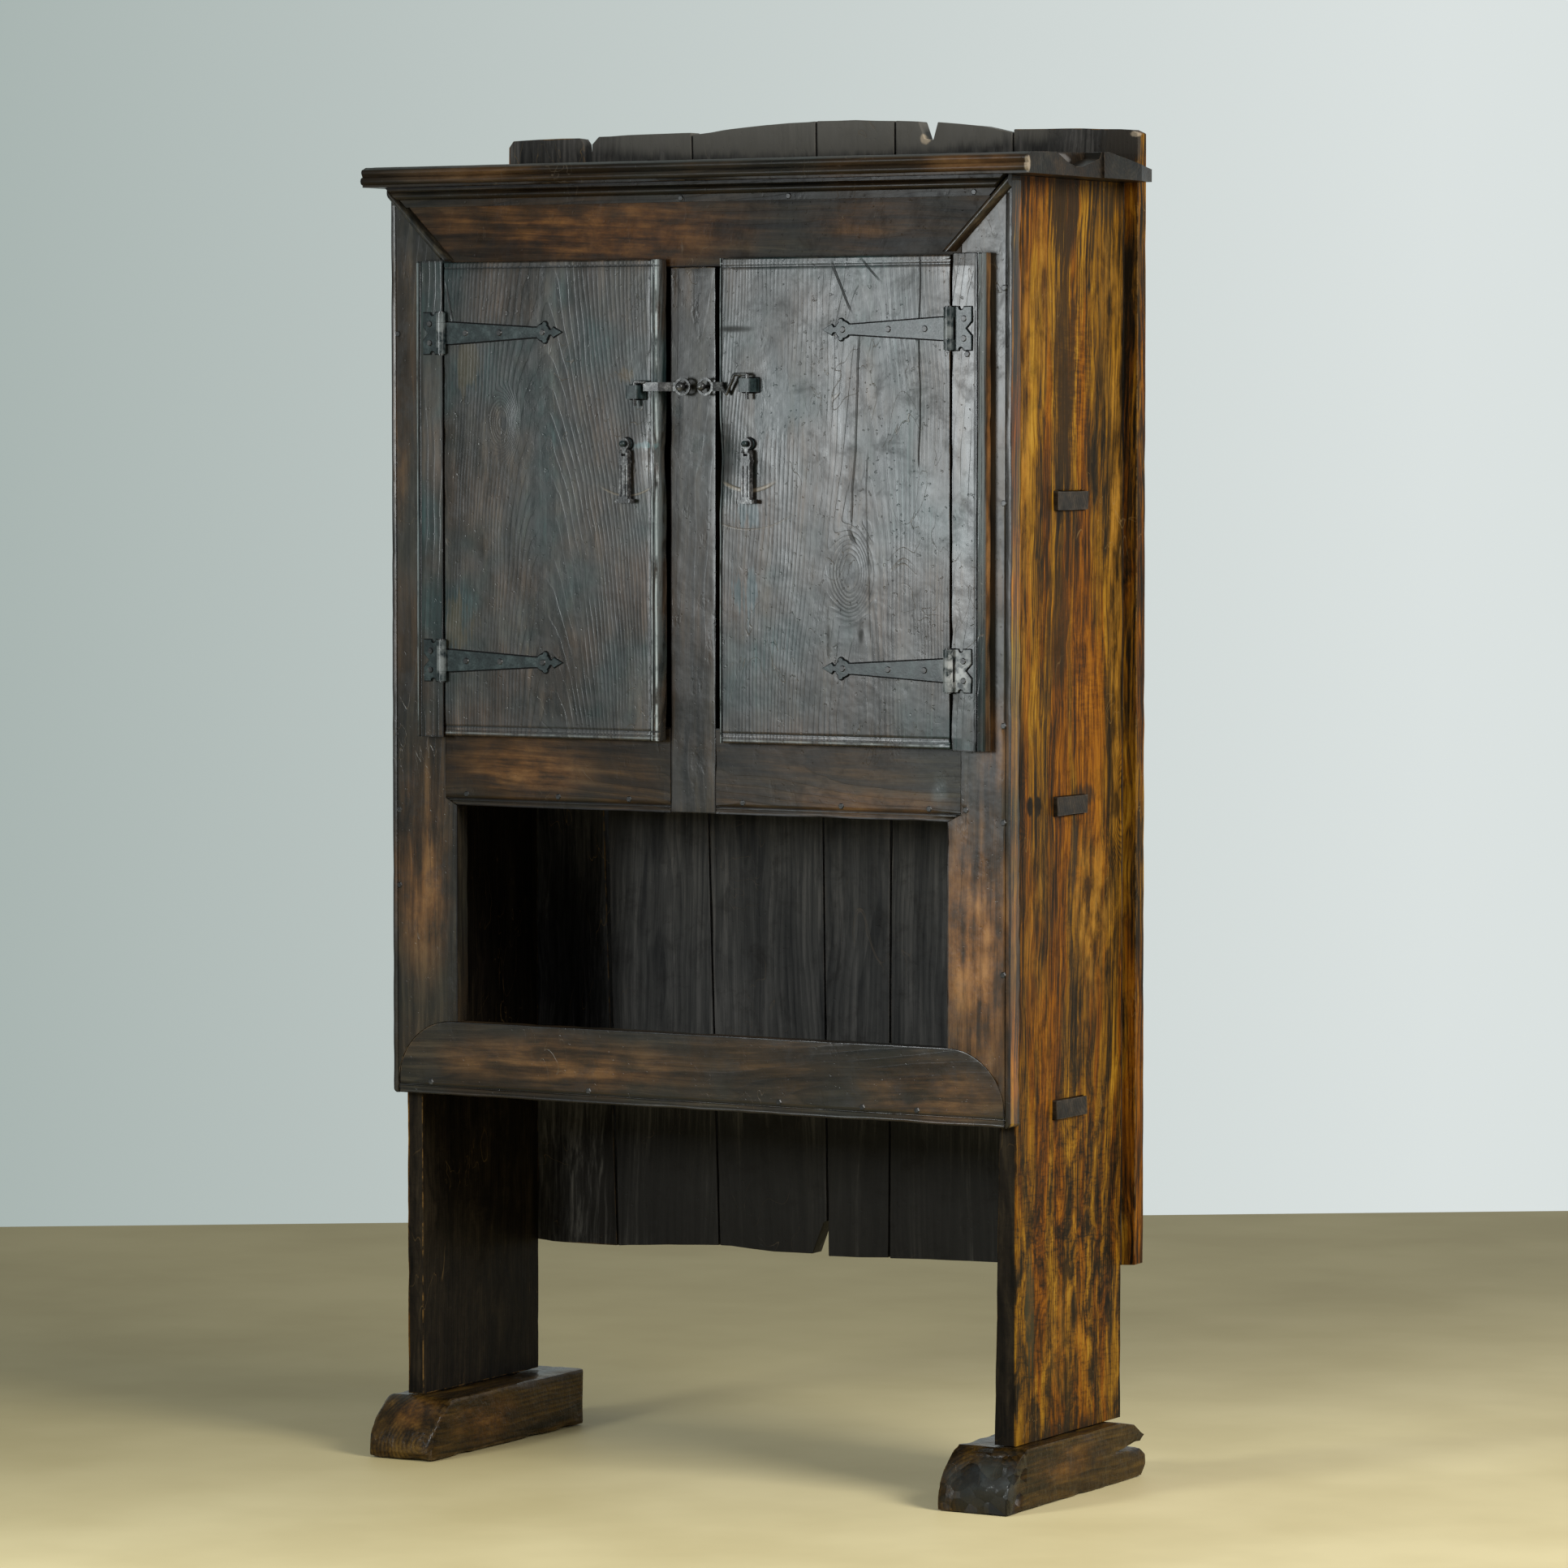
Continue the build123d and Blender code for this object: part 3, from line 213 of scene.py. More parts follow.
class Wood(Surface):
    """Old waxed softwood: how it grew, and then layer by layer what has happened to it, with painted
    highlights on beads, arrises and smooth places, and painted shade in grooves and hollows.

    look holds its colours and amounts. heart is where the tree's centre ran, in mm from the
    board's middle, and lean how it leans. The layers build up colour, height (in mm) and
    roughness. The places of lines are in metres.
    """

    def __init__(self, name, look, grain, heart, lean, knots):
        super().__init__(f"wood_{name}")
        self.look = look
        self.low, self.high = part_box(name)
        rng = random.Random(name)
        heart = heart or (rng.uniform(-40, 40), 70, rng.uniform(-40, 40))
        lean = lean or (rng.uniform(-0.03, 0.03), rng.uniform(-0.03, 0.03))
        chance = (0, 0, rng.uniform(-3, 3))
        heart = (Vector(self.low) + Vector(self.high)) / 2 + Vector(heart) / 1000
        self.local = self.vector("SUBTRACT", self.position, tuple(heart))
        along = self.add("ShaderNodeMapping", {"Vector": self.local, "Rotation": GRAIN_TURN[grain]})
        self.board = self.add("ShaderNodeMapping", {"Vector": along, "Rotation": (*lean, 0)})
        shifted = {0: self.board, 1: (5.0, 5.0, 1.6), 2: chance}
        self.slow = self.add("ShaderNodeVectorMath", shifted, operation="MULTIPLY_ADD")
        warp = self.vector("SUBTRACT", self.noise(self.slow, 1.0, 3.0, output="Color"), HALF)
        self.bent = self.vector("ADD", self.board, self.scaled(warp, (0.045, 0.045, 0)))
        sway = self.stretched(self.board, (16, 16, 9), 2.0, output="Color")
        sway = self.scaled(self.vector("SUBTRACT", sway, HALF), (look["sway"], look["sway"], 0))
        self.wavy = self.vector("ADD", self.bent, sway)
        self.fibre = self.stretched(self.wavy, (850, 850, 16), 3.0, 0.6)
        self.streak = self.stretched(self.wavy, look["streak"], 6.0, 0.7)
        self.broad = self.stretched(self.wavy, look["broad"], 3.0, 0.55, 0.4)
        self.cloud = self.stretched(self.board, (9, 9, 4), 4.0, 0.6)
        self.late = self.late_wood(knots)
        self.ragged = self.noise(self.position, 55.0, 4.0, 0.65)

    def late_wood(self, knots):
        """The dark lines of the years: round the heart, bent along the board and round knots."""
        radius = self.length(self.scaled(self.bent, (1, 1, 0)))
        for middle, size in knots:
            near = self.blob(middle, tuple(v * 4.5 for v in size))
            radius = self.plus(radius, self.times(near, 0.035))
        turns = self.times(radius, 1 / self.look["ring"])
        ripple = self.stretched(self.board, (90, 90, 5), 2.0)
        year = self.math("FRACT", self.plus(turns, self.times(ripple, 0.5)))
        late = self.times(self.step(year, 0.3, 0.88), self.step(year, 1.0, 0.92))
        return self.times(late, self.step(self.noise(self.slow, 3.1, 2.0), 0.30, 0.58))

    def tone(self, knots, ripples, mottles):
        """How light the wood is, from its streaks, bands, clouds, fibres, years and knots."""
        parts = ((self.streak, "streak_share"), (self.broad, "broad_share"),
                 (self.cloud, "cloud_share"), (self.fibre, "fibre_share"))
        tone = reduce(self.plus, [self.times(part, self.look[share]) for part, share in parts])
        fleck = self.stretched(self.wavy, (50, 50, 260), 3.0, 0.6)
        if ripples:
            across = self.times(self.minus(fleck, 0.5), 0.2)
            tone = self.plus(tone, self.times(across, self.mask(ripples)))
        if mottles:
            flame = self.stretched(self.wavy, (38, 38, 13), 6.0, 0.72, 0.9)
            flame = self.minus(flame, self.times(self.step(fleck, 0.5, 0.68), 0.06))
            flame = self.plus(self.times(flame, 0.72), self.times(tone, 0.3))
            tone = self.add("ShaderNodeMix", {0: self.mask(mottles), 2: tone, 3: flame})
        tone = self.minus(tone, self.times(self.late, self.look["late_share"]))
        if knots:
            tone = self.minus(tone, self.mask([(middle, size, 0.3) for middle, size in knots]))
        return tone

    def paint(self, tone, hidden):
        """The colours of the tone: redder streaks, the skin past a place, and uneven patches.

        hidden is (axis, from, to): past it, in that direction, the outer colours begin.
        """
        look = self.look
        self.colour = self.ramp(tone, look["ramp"])
        if "red" in look:
            reddish = self.step(self.stretched(self.wavy, (26, 26, 2.2), 3.0, 0.6), 0.44, 0.56)
            self.cover(reddish, self.ramp(tone, look["red"]))
        if hidden:
            axis, start, end = hidden
            outside = self.step(self.along(axis), start, end)
            self.colour = self.mix(outside, self.ramp(tone, look["hidden"]), self.colour)
        if "tints" in look:
            patches = self.step(self.noise(self.position, 6.0, 3.0, 0.55), 0.36, 0.64)
            self.colour = self.mix(1.0, self.colour, self.ramp(patches, look["tints"]), "MULTIPLY")

    def cover(self, mask, colour):
        self.colour = self.mix(mask, self.colour, colour)

    def at_front(self, reach=0.006):
        """1 on the front of the board, 0 behind it."""
        front = self.low[1]
        return self.step(self.along(1), front + reach, front + reach * 0.6)

    def line(self, axis, at, width, wander):
        """1 along a shallow line at an x (axis 0) or a z (axis 2)."""
        sway = self.times(self.minus(self.noise(self.position, 14.0, 3.0), 0.5), wander)
        apart = self.math("ABSOLUTE", self.minus(self.plus(self.along(axis), sway), at))
        return self.step(apart, width, width * 0.2)

    def rub(self, places):
        """Places where hands and feet have rubbed the dark finish away."""
        broken = self.step(self.plus(self.cloud, self.times(self.streak, 0.7)), 0.66, 0.95)
        broken = self.plus(self.times(broken, 0.8), 0.2)
        bare = self.stretched(self.board, (38, 38, 16), 5.0, 0.66)
        bare = self.plus(self.times(bare, 0.75), self.times(self.streak, 0.25))
        self.cover(self.times(broken, self.mask(places)), self.ramp(bare, self.look["worn"]))

    def age(self):
        """Edges rubbed lighter and smoother, and grime, which is dull."""
        look = self.look
        edge = self.add("ShaderNodeAttribute", output="Fac", attribute_name="edge")
        worn_edge = self.times(edge, self.step(self.ragged, 0.42, 0.62))
        self.cover(self.times(worn_edge, look["edge"]), look["edge_colour"])
        grime = self.step(self.noise(self.position, 26.0, 6.0, 0.72, 0.4), 0.48, 0.74)
        self.cover(self.times(grime, look["grime"]), GRIME)
        rough = self.plus(self.times(self.cloud, 0.3), look["rough"])
        rough = self.plus(rough, self.times(self.streak, 0.1))
        rough = self.plus(rough, self.times(grime, 0.12))
        self.roughness = self.minus(rough, self.times(edge, look["edge_polish"]))

    def raggedness(self):
        """How uneven a stain's outline is: along the grain in a streaky look, else every way."""
        if not self.look["streaky"]:
            return self.times(self.ragged, 0.9)
        lengthwise = self.times(self.minus(0.5, self.streak), 2.2)
        lengthwise = self.plus(lengthwise, self.times(self.minus(self.broad, 0.5), -1.4))
        return self.plus(self.times(lengthwise, self.look["streaky"]), 0.12)

    def stain(self, middle, size, colour, strength):
        spot = self.plus(self.blob(middle, size), self.raggedness())
        reach = self.blob(middle, tuple(1.6 * v for v in size))
        spot = self.times(self.step(spot, 0.6, 1.0), reach)
        self.cover(self.times(spot, strength), colour)

    def scratch(self):
        """Long thin scratches, in places."""
        thin = self.stretched(self.position, (16, 16, 7), 2.0, 0.5, 2.0)
        thin = self.step(self.math("ABSOLUTE", self.minus(thin, 0.5)), 0.005, 0.001)
        self.scratches = self.times(thin, self.step(self.noise(self.position, 7.0, 2.0), 0.54, 0.62))
        self.cover(self.times(self.scratches, 0.4), self.look["scratch"])

    def handle(self, start, end):
        """A painted highlight on the strip between two places on x, most of it higher up, where the bead is
        also made smoother.
        """
        across = self.along(0)
        bead_highlight = self.times(self.step(across, start, start + 0.002), self.step(across, end, end - 0.001))
        bead_highlight = self.times(bead_highlight, self.step(self.streak, 0.36, 0.56))
        bead_highlight = self.times(bead_highlight, self.at_front(0.012))
        bead_highlight = self.times(bead_highlight, self.step(self.along(2), 0.92, 1.28))
        self.cover(self.times(bead_highlight, 0.7), BEAD_HIGHLIGHT)
        self.roughness = self.minus(self.roughness, self.times(bead_highlight, 0.12))

    def paint_arris_highlight(self, axis, at, strength):
        """A pale line along an arris: rubbed wear, and a painted highlight."""
        rubbed = self.times(self.line(axis, at, 0.0016, 0.0015), strength)
        rubbed = self.times(rubbed, self.step(self.noise(self.position, 30.0, 4.0, 0.6), 0.36, 0.56))
        self.cover(self.times(rubbed, self.at_front()), ARRIS_HIGHLIGHT)

    def darken_border(self):
        """Old wax along the outline of the board's front."""
        gaps = []
        for axis in (0, 2):
            here = self.along(axis)
            gaps += [self.minus(here, self.low[axis]), self.minus(self.high[axis], here)]
        nearest = reduce(lambda a, b: self.math("MINIMUM", a, b), gaps)
        reach = 0.0035
        border = self.times(self.step(nearest, reach, reach * 0.25), self.at_front(0.003))
        border = self.step(self.plus(border, self.times(self.ragged, 0.8)), 0.7, 1.2)
        self.cover(self.times(border, self.look["border"]), OUTLINE)

    def scrape(self, middle, radius, width, strength):
        """A mark that a swinging pull has scraped: the low part of a circle, in mm."""
        offset = self.scaled(self.vector("SUBTRACT", self.position, tuple(middle)), (1, 0, 1))
        away = self.minus(self.length(offset), radius / 1000)
        thin = self.step(self.math("ABSOLUTE", away), width / 1000, width / 4000)
        drop = self.add("ShaderNodeSeparateXYZ", {0: offset}, output="Z")
        low = self.step(drop, -0.78 * radius / 1000, -0.93 * radius / 1000)
        swing = self.times(self.times(thin, self.times(low, strength)), self.at_front())
        self.cover(swing, SCRAPED)
        self.scratches = self.larger(self.scratches, self.times(swing, 2.0))

    def hew(self, places):
        """Flat facets left by an axe, as a height in mm."""
        cell = self.add("ShaderNodeTexVoronoi", {"Vector": self.position, "Scale": 60.0}, output="Color")
        tilt = self.scaled(self.vector("SUBTRACT", cell, HALF), (700, 700, 700))
        cut = self.vector("DOT_PRODUCT", tilt, self.local, output="Value")
        return self.times(cut, self.mask(places))

    def relief(self, facets):
        """The height: late wood, fibres, hand-planed waves, facets and chips, less the hollows."""
        look = self.look
        raised = [(self.late, look["raised"]), (self.fibre, look["fibre_height"]), (self.streak, 0.10),
                  (self.noise(self.position, look["wave_scale"], 3.0, 0.5), look["waves"])]
        if look["chips"]:
            raised.append((self.noise(self.position, 120.0, 3.0, 0.6), look["chips"]))
        self.height = reduce(self.plus, [self.times(part, height) for part, height in raised])
        if facets:
            self.height = self.plus(self.height, self.hew(facets))
        pits = self.step(self.noise(self.position, 150.0, 2.0), 0.67, 0.74)
        dents = self.step(self.stretched(self.position, (42, 42, 24), 4.0, 0.6), 0.42, 0.30)
        for hollow, depth in ((pits, 0.15), (self.scratches, 0.12), (dents, look["dents"])):
            self.height = self.minus(self.height, self.times(hollow, depth))

    def groove(self, axis, at, strength):
        """Painted shade along the bottom of a scratched groove."""
        groove_shade = self.times(self.line(axis, at, 0.0022, 0.0006), strength)
        self.cover(self.times(groove_shade, self.at_front()), GROOVE_SHADE)

    def crack(self, x, low, high, lean, width, strength):
        """A thin upright crack from x and z low up to z high, all in mm but lean, its slope."""
        start = place(x, 0, low)
        across, upwards = self.along(0), self.along(2)
        bend = self.times(self.minus(self.noise(self.position, 9.0, 2.0), 0.5), 0.012)
        run = self.times(self.minus(upwards, start.z), lean)
        middle = self.plus(run, self.plus(bend, start.x))
        apart = self.math("ABSOLUTE", self.minus(across, middle))
        thin = self.step(apart, width / 1000, width / 4000)
        inside = self.times(self.step(upwards, low / 1000, low / 1000 + 0.02),
                            self.step(upwards, high / 1000, high / 1000 - 0.02))
        split = self.times(self.times(thin, inside), strength)
        self.cover(split, CRACK)
        self.height = self.minus(self.height, self.times(split, 0.5))
        self.roughness = self.plus(self.roughness, self.times(split, 0.25))

    def soil_and_shade(self, places):
        """Dull, dark places: dirt, and in the worn hollow at the right door's grip, painted shade."""
        dark_and_dull = self.times(self.mask(places), self.step(self.ragged, 0.2, 0.6))
        self.cover(self.times(dark_and_dull, 0.8), SOOT_AND_SHADE)
        self.roughness = self.plus(self.roughness, self.times(dark_and_dull, 0.3))

    def polish_with_painted_highlight(self, places):
        """Places rubbed smoother, with a painted highlight: a cold bluish colour laid over them."""
        dabs = self.step(self.noise(self.position, 40.0, 4.0, 0.6), 0.40, 0.62)
        polished_highlight = self.times(self.mask(places), dabs)
        self.cover(self.times(polished_highlight, 0.4), POLISHED_HIGHLIGHT)
        self.roughness = self.minus(self.roughness, self.times(polished_highlight, 0.16))


def wood(name, look, grain="Z", heart=None, lean=None, knots=(), ripples=(), mottles=(), hidden=None,
         rubs=(), stains=(), bead=None, arrises=(), arcs=(), facets=(), grooves=(), cracks=(),
         dull=(), shine=()):
    """The material of a board, with its marks in the order in which they were made.

    ripples, mottles, rubs, facets, dull and shine are places (middle, size in mm, strength), and
    stains have a colour before the strength. bead, arrises, arcs, grooves and cracks are what
    Wood's handle, paint_arris_highlight, scrape, groove and crack take. Beads, arrises
    and shine get painted highlights; grooves, and stains and dull places in hollows, painted shade.
    """
    board = Wood(name, look, grain, heart, lean, knots)
    board.paint(board.tone(knots, ripples, mottles), hidden)
    if rubs:
        board.rub(rubs)
    board.age()
    for stain in stains:
        board.stain(*stain)
    board.scratch()
    if bead:
        board.handle(*bead)
    for arris in arrises:
        board.paint_arris_highlight(*arris)
    if look["border"]:
        board.darken_border()
    for arc in arcs:
        board.scrape(*arc)
    board.relief(facets)
    for groove in grooves:
        board.groove(*groove)
    for crack in cracks:
        board.crack(*crack)
    if dull:
        board.soil_and_shade(dull)
    if shine:
        board.polish_with_painted_highlight(shine)
    inputs = {"Base Color": board.colour, "Roughness": board.roughness}
    inputs["Normal"] = board.bump(board.height, 0.001)
    inputs["Specular IOR Level"] = look["specular"]
    return board.finish(inputs)


SOFTWOOD = {
    "ring": 0.0055,  # the width of a year, in metres
    "streak": (110, 110, 4),  # noise scales across and along the board
    "broad": (34, 34, 1.8),
    "sway": 0.005,  # how far the figure wanders, in metres
    "streak_share": 0.45,  # what each makes of the tone
    "broad_share": 0.25,
    "cloud_share": 0.2,
    "fibre_share": 0.1,
    "late_share": 0.06,
    "raised": 0.05,  # heights in mm
    "fibre_height": 0.02,
    "waves": 0.7,
    "wave_scale": 24.0,
    "chips": 0,
    "dents": 0.10,
    "edge": 0.6,  # strengths of the pale edges, the grime and the dark outline
    "grime": 0.5,
    "border": 0,
    "streaky": 0,  # how much stains follow the grain
    "scratch": (0.10, 0.075, 0.05),
    "rough": 0.11,
    "edge_polish": 0.05,
    "specular": 0.3,
}
FRONT = dict(
    SOFTWOOD, border=0.85, edge_colour=(0.10, 0.066, 0.036),
    ramp=[(0.38, (0.005, 0.004, 0.003)), (0.5, (0.019, 0.014, 0.009)), (0.62, (0.055, 0.039, 0.023))],
    tints=[(0.0, (0.8, 1.0, 1.1)), (0.5, (1.0, 1.0, 0.95)), (1.0, (1.35, 1.05, 0.7))],
    worn=[(0.38, (0.06, 0.026, 0.007)), (0.5, (0.19, 0.080, 0.020)), (0.62, (0.31, 0.150, 0.046))])
DOOR = dict(
    FRONT, border=0, ring=0.0042, late_share=0.08, raised=0.09, fibre_height=0.035, grime=0.4,
    specular=0.33, rough=0.10, edge_polish=0.12, dents=0.05, streaky=2.0,
    ramp=[(0.38, (0.007, 0.0065, 0.006)), (0.5, (0.024, 0.020, 0.0175)), (0.62, (0.068, 0.056, 0.048))],
    tints=[(0.0, (0.4, 1.0, 1.15)), (0.45, (0.85, 1.0, 0.95)), (1.0, (1.25, 1.0, 0.75))])
STRIP = dict(DOOR, specular=0.36, border=0.8)
RAIL = dict(FRONT, specular=0.12, rough=0.18)
MID_RAIL = {"left": RAIL, "right": dict(RAIL, specular=0.2)}
TOP_RAIL = dict(
    RAIL, specular=0.07,
    worn=[(0.38, (0.03, 0.011, 0.003)), (0.5, (0.12, 0.043, 0.008)), (0.62, (0.23, 0.095, 0.022))])
CORNICE = dict(
    FRONT, specular=0.12, rough=0.14,
    ramp=[(0.38, (0.004, 0.0033, 0.0026)), (0.5, (0.013, 0.010, 0.007)), (0.62, (0.036, 0.026, 0.017))])
SIDE = dict(
    SOFTWOOD, streaky=1.0, streak=(170, 170, 7.0), broad=(30, 30, 3.0), sway=0.018,
    streak_share=0.46, broad_share=0.36, cloud_share=0.1, fibre_share=0.08, ring=0.0045,
    late_share=0.05, edge_colour=(0.20, 0.11, 0.03), scratch=(0.25, 0.16, 0.06), grime=0.45,
    specular=0.05, rough=0.28,
    ramp=[(0.42, (0.011, 0.008, 0.0045)), (0.46, (0.036, 0.021, 0.007)), (0.495, (0.115, 0.050, 0.006)),
          (0.53, (0.19, 0.088, 0.007)), (0.57, (0.28, 0.142, 0.012)), (0.63, (0.38, 0.215, 0.028))],
    red=[(0.42, (0.009, 0.006, 0.0035)), (0.465, (0.032, 0.015, 0.005)), (0.51, (0.100, 0.033, 0.004)),
         (0.55, (0.19, 0.064, 0.004)), (0.62, (0.31, 0.125, 0.009))],
    worn=[(0.40, (0.04, 0.020, 0.005)), (0.48, (0.19, 0.086, 0.010)), (0.60, (0.36, 0.178, 0.026))],
    hidden=[(0.4, (0.004, 0.0033, 0.0025)), (0.5, (0.012, 0.009, 0.006)), (0.62, (0.032, 0.024, 0.014))])
STILE = {
    "left": FRONT,
    "right": dict(FRONT, ramp=SIDE["ramp"], red=SIDE["red"], hidden=FRONT["ramp"]),
}
INNER = dict(
    SOFTWOOD, edge_colour=(0.07, 0.058, 0.045), streaky=0.4, rough=0.32, specular=0.12, edge=0.5,
    ramp=[(0.38, (0.012, 0.0115, 0.011)), (0.5, (0.040, 0.038, 0.0345)), (0.62, (0.095, 0.088, 0.079))])
SHELF = dict(
    INNER, rough=0.2,
    ramp=[(0.38, (0.006, 0.005, 0.004)), (0.5, (0.020, 0.015, 0.010)), (0.62, (0.055, 0.040, 0.026))])
OUTER_BACK = dict(SIDE, hidden=INNER["ramp"], streaky=0.4)
FOOT = dict(
    SOFTWOOD, edge_colour=(0.10, 0.065, 0.030), edge=0.4, edge_polish=0.04, chips=0.6,
    streak=(60, 60, 8), rough=0.08, specular=0.13, waves=1.6, wave_scale=45.0,
    ramp=[(0.42, (0.010, 0.006, 0.002)), (0.50, (0.036, 0.019, 0.004)), (0.58, (0.085, 0.046, 0.008)),
          (0.68, (0.14, 0.082, 0.020))],
    worn=[(0.40, (0.03, 0.012, 0.004)), (0.52, (0.12, 0.050, 0.010)), (0.64, (0.24, 0.12, 0.03))])


# ---------------------------------------------------------------- iron
BARE_IRON_AND_HIGHLIGHT = (0.31, 0.32, 0.315)
RUST = (0.05, 0.024, 0.013)


def iron(name, colours, rough, specular, rust=0.3, metallic=0.0, rubs=()):
    """Black forged iron: uneven hammered skin, rubbed brighter in places (on the hinge barrels, a painted
    highlight too), a little rust.
    """
    g = Surface(f"iron_{name}")
    coarse = g.noise(g.position, 75.0, 4.0, 0.6)
    fine = g.noise(g.position, 420.0, 4.0, 0.6)
    tone = g.plus(g.times(coarse, 0.7), g.times(fine, 0.3))
    colour = g.ramp(tone, list(zip((0.36, 0.5, 0.66), colours)))
    rusty = g.step(g.noise(g.position, 110.0, 5.0, 0.7), 0.58, 0.72)
    colour = g.mix(g.times(rusty, rust), colour, RUST)
    if rubs:
        bare = g.times(g.mask(rubs), g.step(coarse, 0.36, 0.56))
        colour = g.mix(bare, colour, BARE_IRON_AND_HIGHLIGHT)
    inputs = {"Base Color": colour, "Roughness": g.plus(g.times(fine, 0.2), rough - 0.1)}
    inputs["Normal"] = g.bump(g.plus(coarse, g.times(fine, 0.4)), 0.00015)
    inputs["Metallic"] = metallic
    inputs["Specular IOR Level"] = specular
    return g.finish(inputs)


# ---------------------------------------------------------------- worn boards
SAME_POINT, ON_PLANE, ON_LINE, ON_FRONT = 2e-6, 1e-6, 0.0003, 0.0015  # distances that count as none
SHARP = math.radians(35)
SHORTEST, NARROWEST = 0.004, 0.0026  # an edge, and the faces beside it, that can be rounded
GROOVE_HALF, GROOVE_DEPTH = 0.0014, 0.0009
COARSE, FINE = 9, 31  # noise scales of the uneven surface
NICKS, FINE_NICKS = 24, 63  # and of the nicks in its edges


def tidy_copy(node):
    """The node's solid as a clean mesh: doubles merged, flat areas joined into single faces."""
    bm = bmesh.new()
    bm.from_mesh(nodes[node].data)
    bmesh.ops.remove_doubles(bm, verts=bm.verts, dist=SAME_POINT)
    bmesh.ops.dissolve_limit(bm, angle_limit=math.radians(0.3), verts=bm.verts, edges=bm.edges)
    return bm


def is_narrow(face):
    return face.calc_area() / max(edge.calc_length() for edge in face.edges) < NARROWEST


def can_round(edge):
    """An outer corner that is long enough, with no narrow face beside it."""
    if len(edge.link_faces) != 2 or edge.calc_face_angle(0) < SHARP:
        return False
    if edge.calc_length() < SHORTEST or not edge.is_convex:
        return False
    return not any(is_narrow(face) for face in edge.link_faces)


def round_edges(bm, rounding):
    """Round the outer corners, and give the layer in which the new faces hold 1."""
    layer = bm.faces.layers.int.new("rounded")
    sharp = [edge for edge in bm.edges if can_round(edge)]
    if sharp:
        made = bmesh.ops.bevel(bm, geom=sharp, offset=rounding, segments=2, profile=0.6,
                               affect="EDGES", clamp_overlap=True)
        for face in made["faces"]:
            face[layer] = 1
    return layer


def cut_across(bm, axis, at):
    """Cut the mesh by the plane that crosses an axis at a distance."""
    point = Vector()
    point[axis] = at
    normal = [float(axis == i) for i in range(3)]
    geometry = bm.verts[:] + bm.edges[:] + bm.faces[:]
    bmesh.ops.bisect_plane(bm, geom=geometry, plane_co=point, plane_no=normal, dist=ON_PLANE)


def divide(bm, low, high, cell, cuts):
    """Divide the mesh into cells of about the given size, and at each of the cuts."""
    for axis in range(3):
        count = int((high[axis] - low[axis]) / cell)
        for number in range(1, count + 1):
            cut_across(bm, axis, low[axis] + (high[axis] - low[axis]) * number / (count + 1))
    for axis, at in cuts:
        cut_across(bm, axis, at)


def wear_down(bm, seed, layer, wave, wear, carve, grooves, front):
    """Move the points in: a slightly uneven surface, nicked edges, grooves, and the carving."""
    bm.normal_update()
    moves = []
    for vert in bm.verts:
        at = vert.co + seed
        inward = wave * (0.5 + 0.5 * noise.noise(at * COARSE)) + wave * 0.5 * noise.noise(at * FINE)
        if any(face[layer] for face in vert.link_faces):
            nick = max(0.0, noise.noise(at * NICKS) - 0.05) * 1.6
            nick += max(0.0, noise.noise(at * FINE_NICKS) - 0.25)
            inward += wear * nick
        move = -vert.normal * max(0.0, inward)
        for axis, middle, strength in grooves:
            if vert.co.y < front + ON_FRONT and abs(vert.co[axis] - middle) < ON_LINE:
                move.y += GROOVE_DEPTH * strength
        moves.append(move + carve(vert.co) if carve else move)
    for vert, move in zip(bm.verts, moves):
        vert.co += move


def mark_edges(mesh):
    """The attribute that the wood reads: edge is 1 at the corners of the rounded faces."""
    flags = [item.value for item in mesh.attributes["rounded"].data]
    edge = mesh.attributes.new("edge", "FLOAT", "CORNER")
    for polygon in mesh.polygons:
        for loop in polygon.loop_indices:
            edge.data[loop].value = flags[polygon.index]
    mesh.attributes.remove(mesh.attributes["rounded"])


def new_piece(bm, name, material):
    """A piece in the scene, made of a finished mesh."""
    mesh = bpy.data.meshes.new(name)
    bm.to_mesh(mesh)
    bm.free()
    mesh.materials.append(material)
    piece = bpy.data.objects.new(name, mesh)
    bpy.context.scene.collection.objects.link(piece)
    return piece


def worn(node, body, slot, material, cell=0.016, rounding=0.0016, wave=0.0004, wear=0.0012,
         carve=None, cuts=(), grooves=()):
    """A copy of a board with rounded, rubbed edges and a slightly uneven surface.

    cuts are extra places (axis, metres) where the mesh is divided, and carve moves its points.
    grooves (axis, metres, strength) are scratched into the front.
    """
    cuts = list(cuts)
    for axis, at, strength in grooves:
        cuts += [(axis, at - GROOVE_HALF), (axis, at), (axis, at + GROOVE_HALF)]
    bm = tidy_copy(node)
    layer = round_edges(bm, rounding)
    low, high = (Vector([pick(vert.co[i] for vert in bm.verts) for i in range(3)]) for pick in (min, max))
    divide(bm, low, high, cell, cuts)
    seed = Vector([ord(letter) * 0.137 for letter in node[:3]])
    wear_down(bm, seed, layer, wave, wear, carve, grooves, low.y)
    bmesh.ops.triangulate(bm, faces=[face for face in bm.faces if len(face.verts) > 4])
    piece = new_piece(bm, f"{node}_worn", material)
    mark_edges(piece.data)
    piece.data.shade_smooth()
    piece.data.set_sharp_from_angle(angle=math.radians(32))
    level_normals(piece)
    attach(piece, body)
    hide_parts(node)


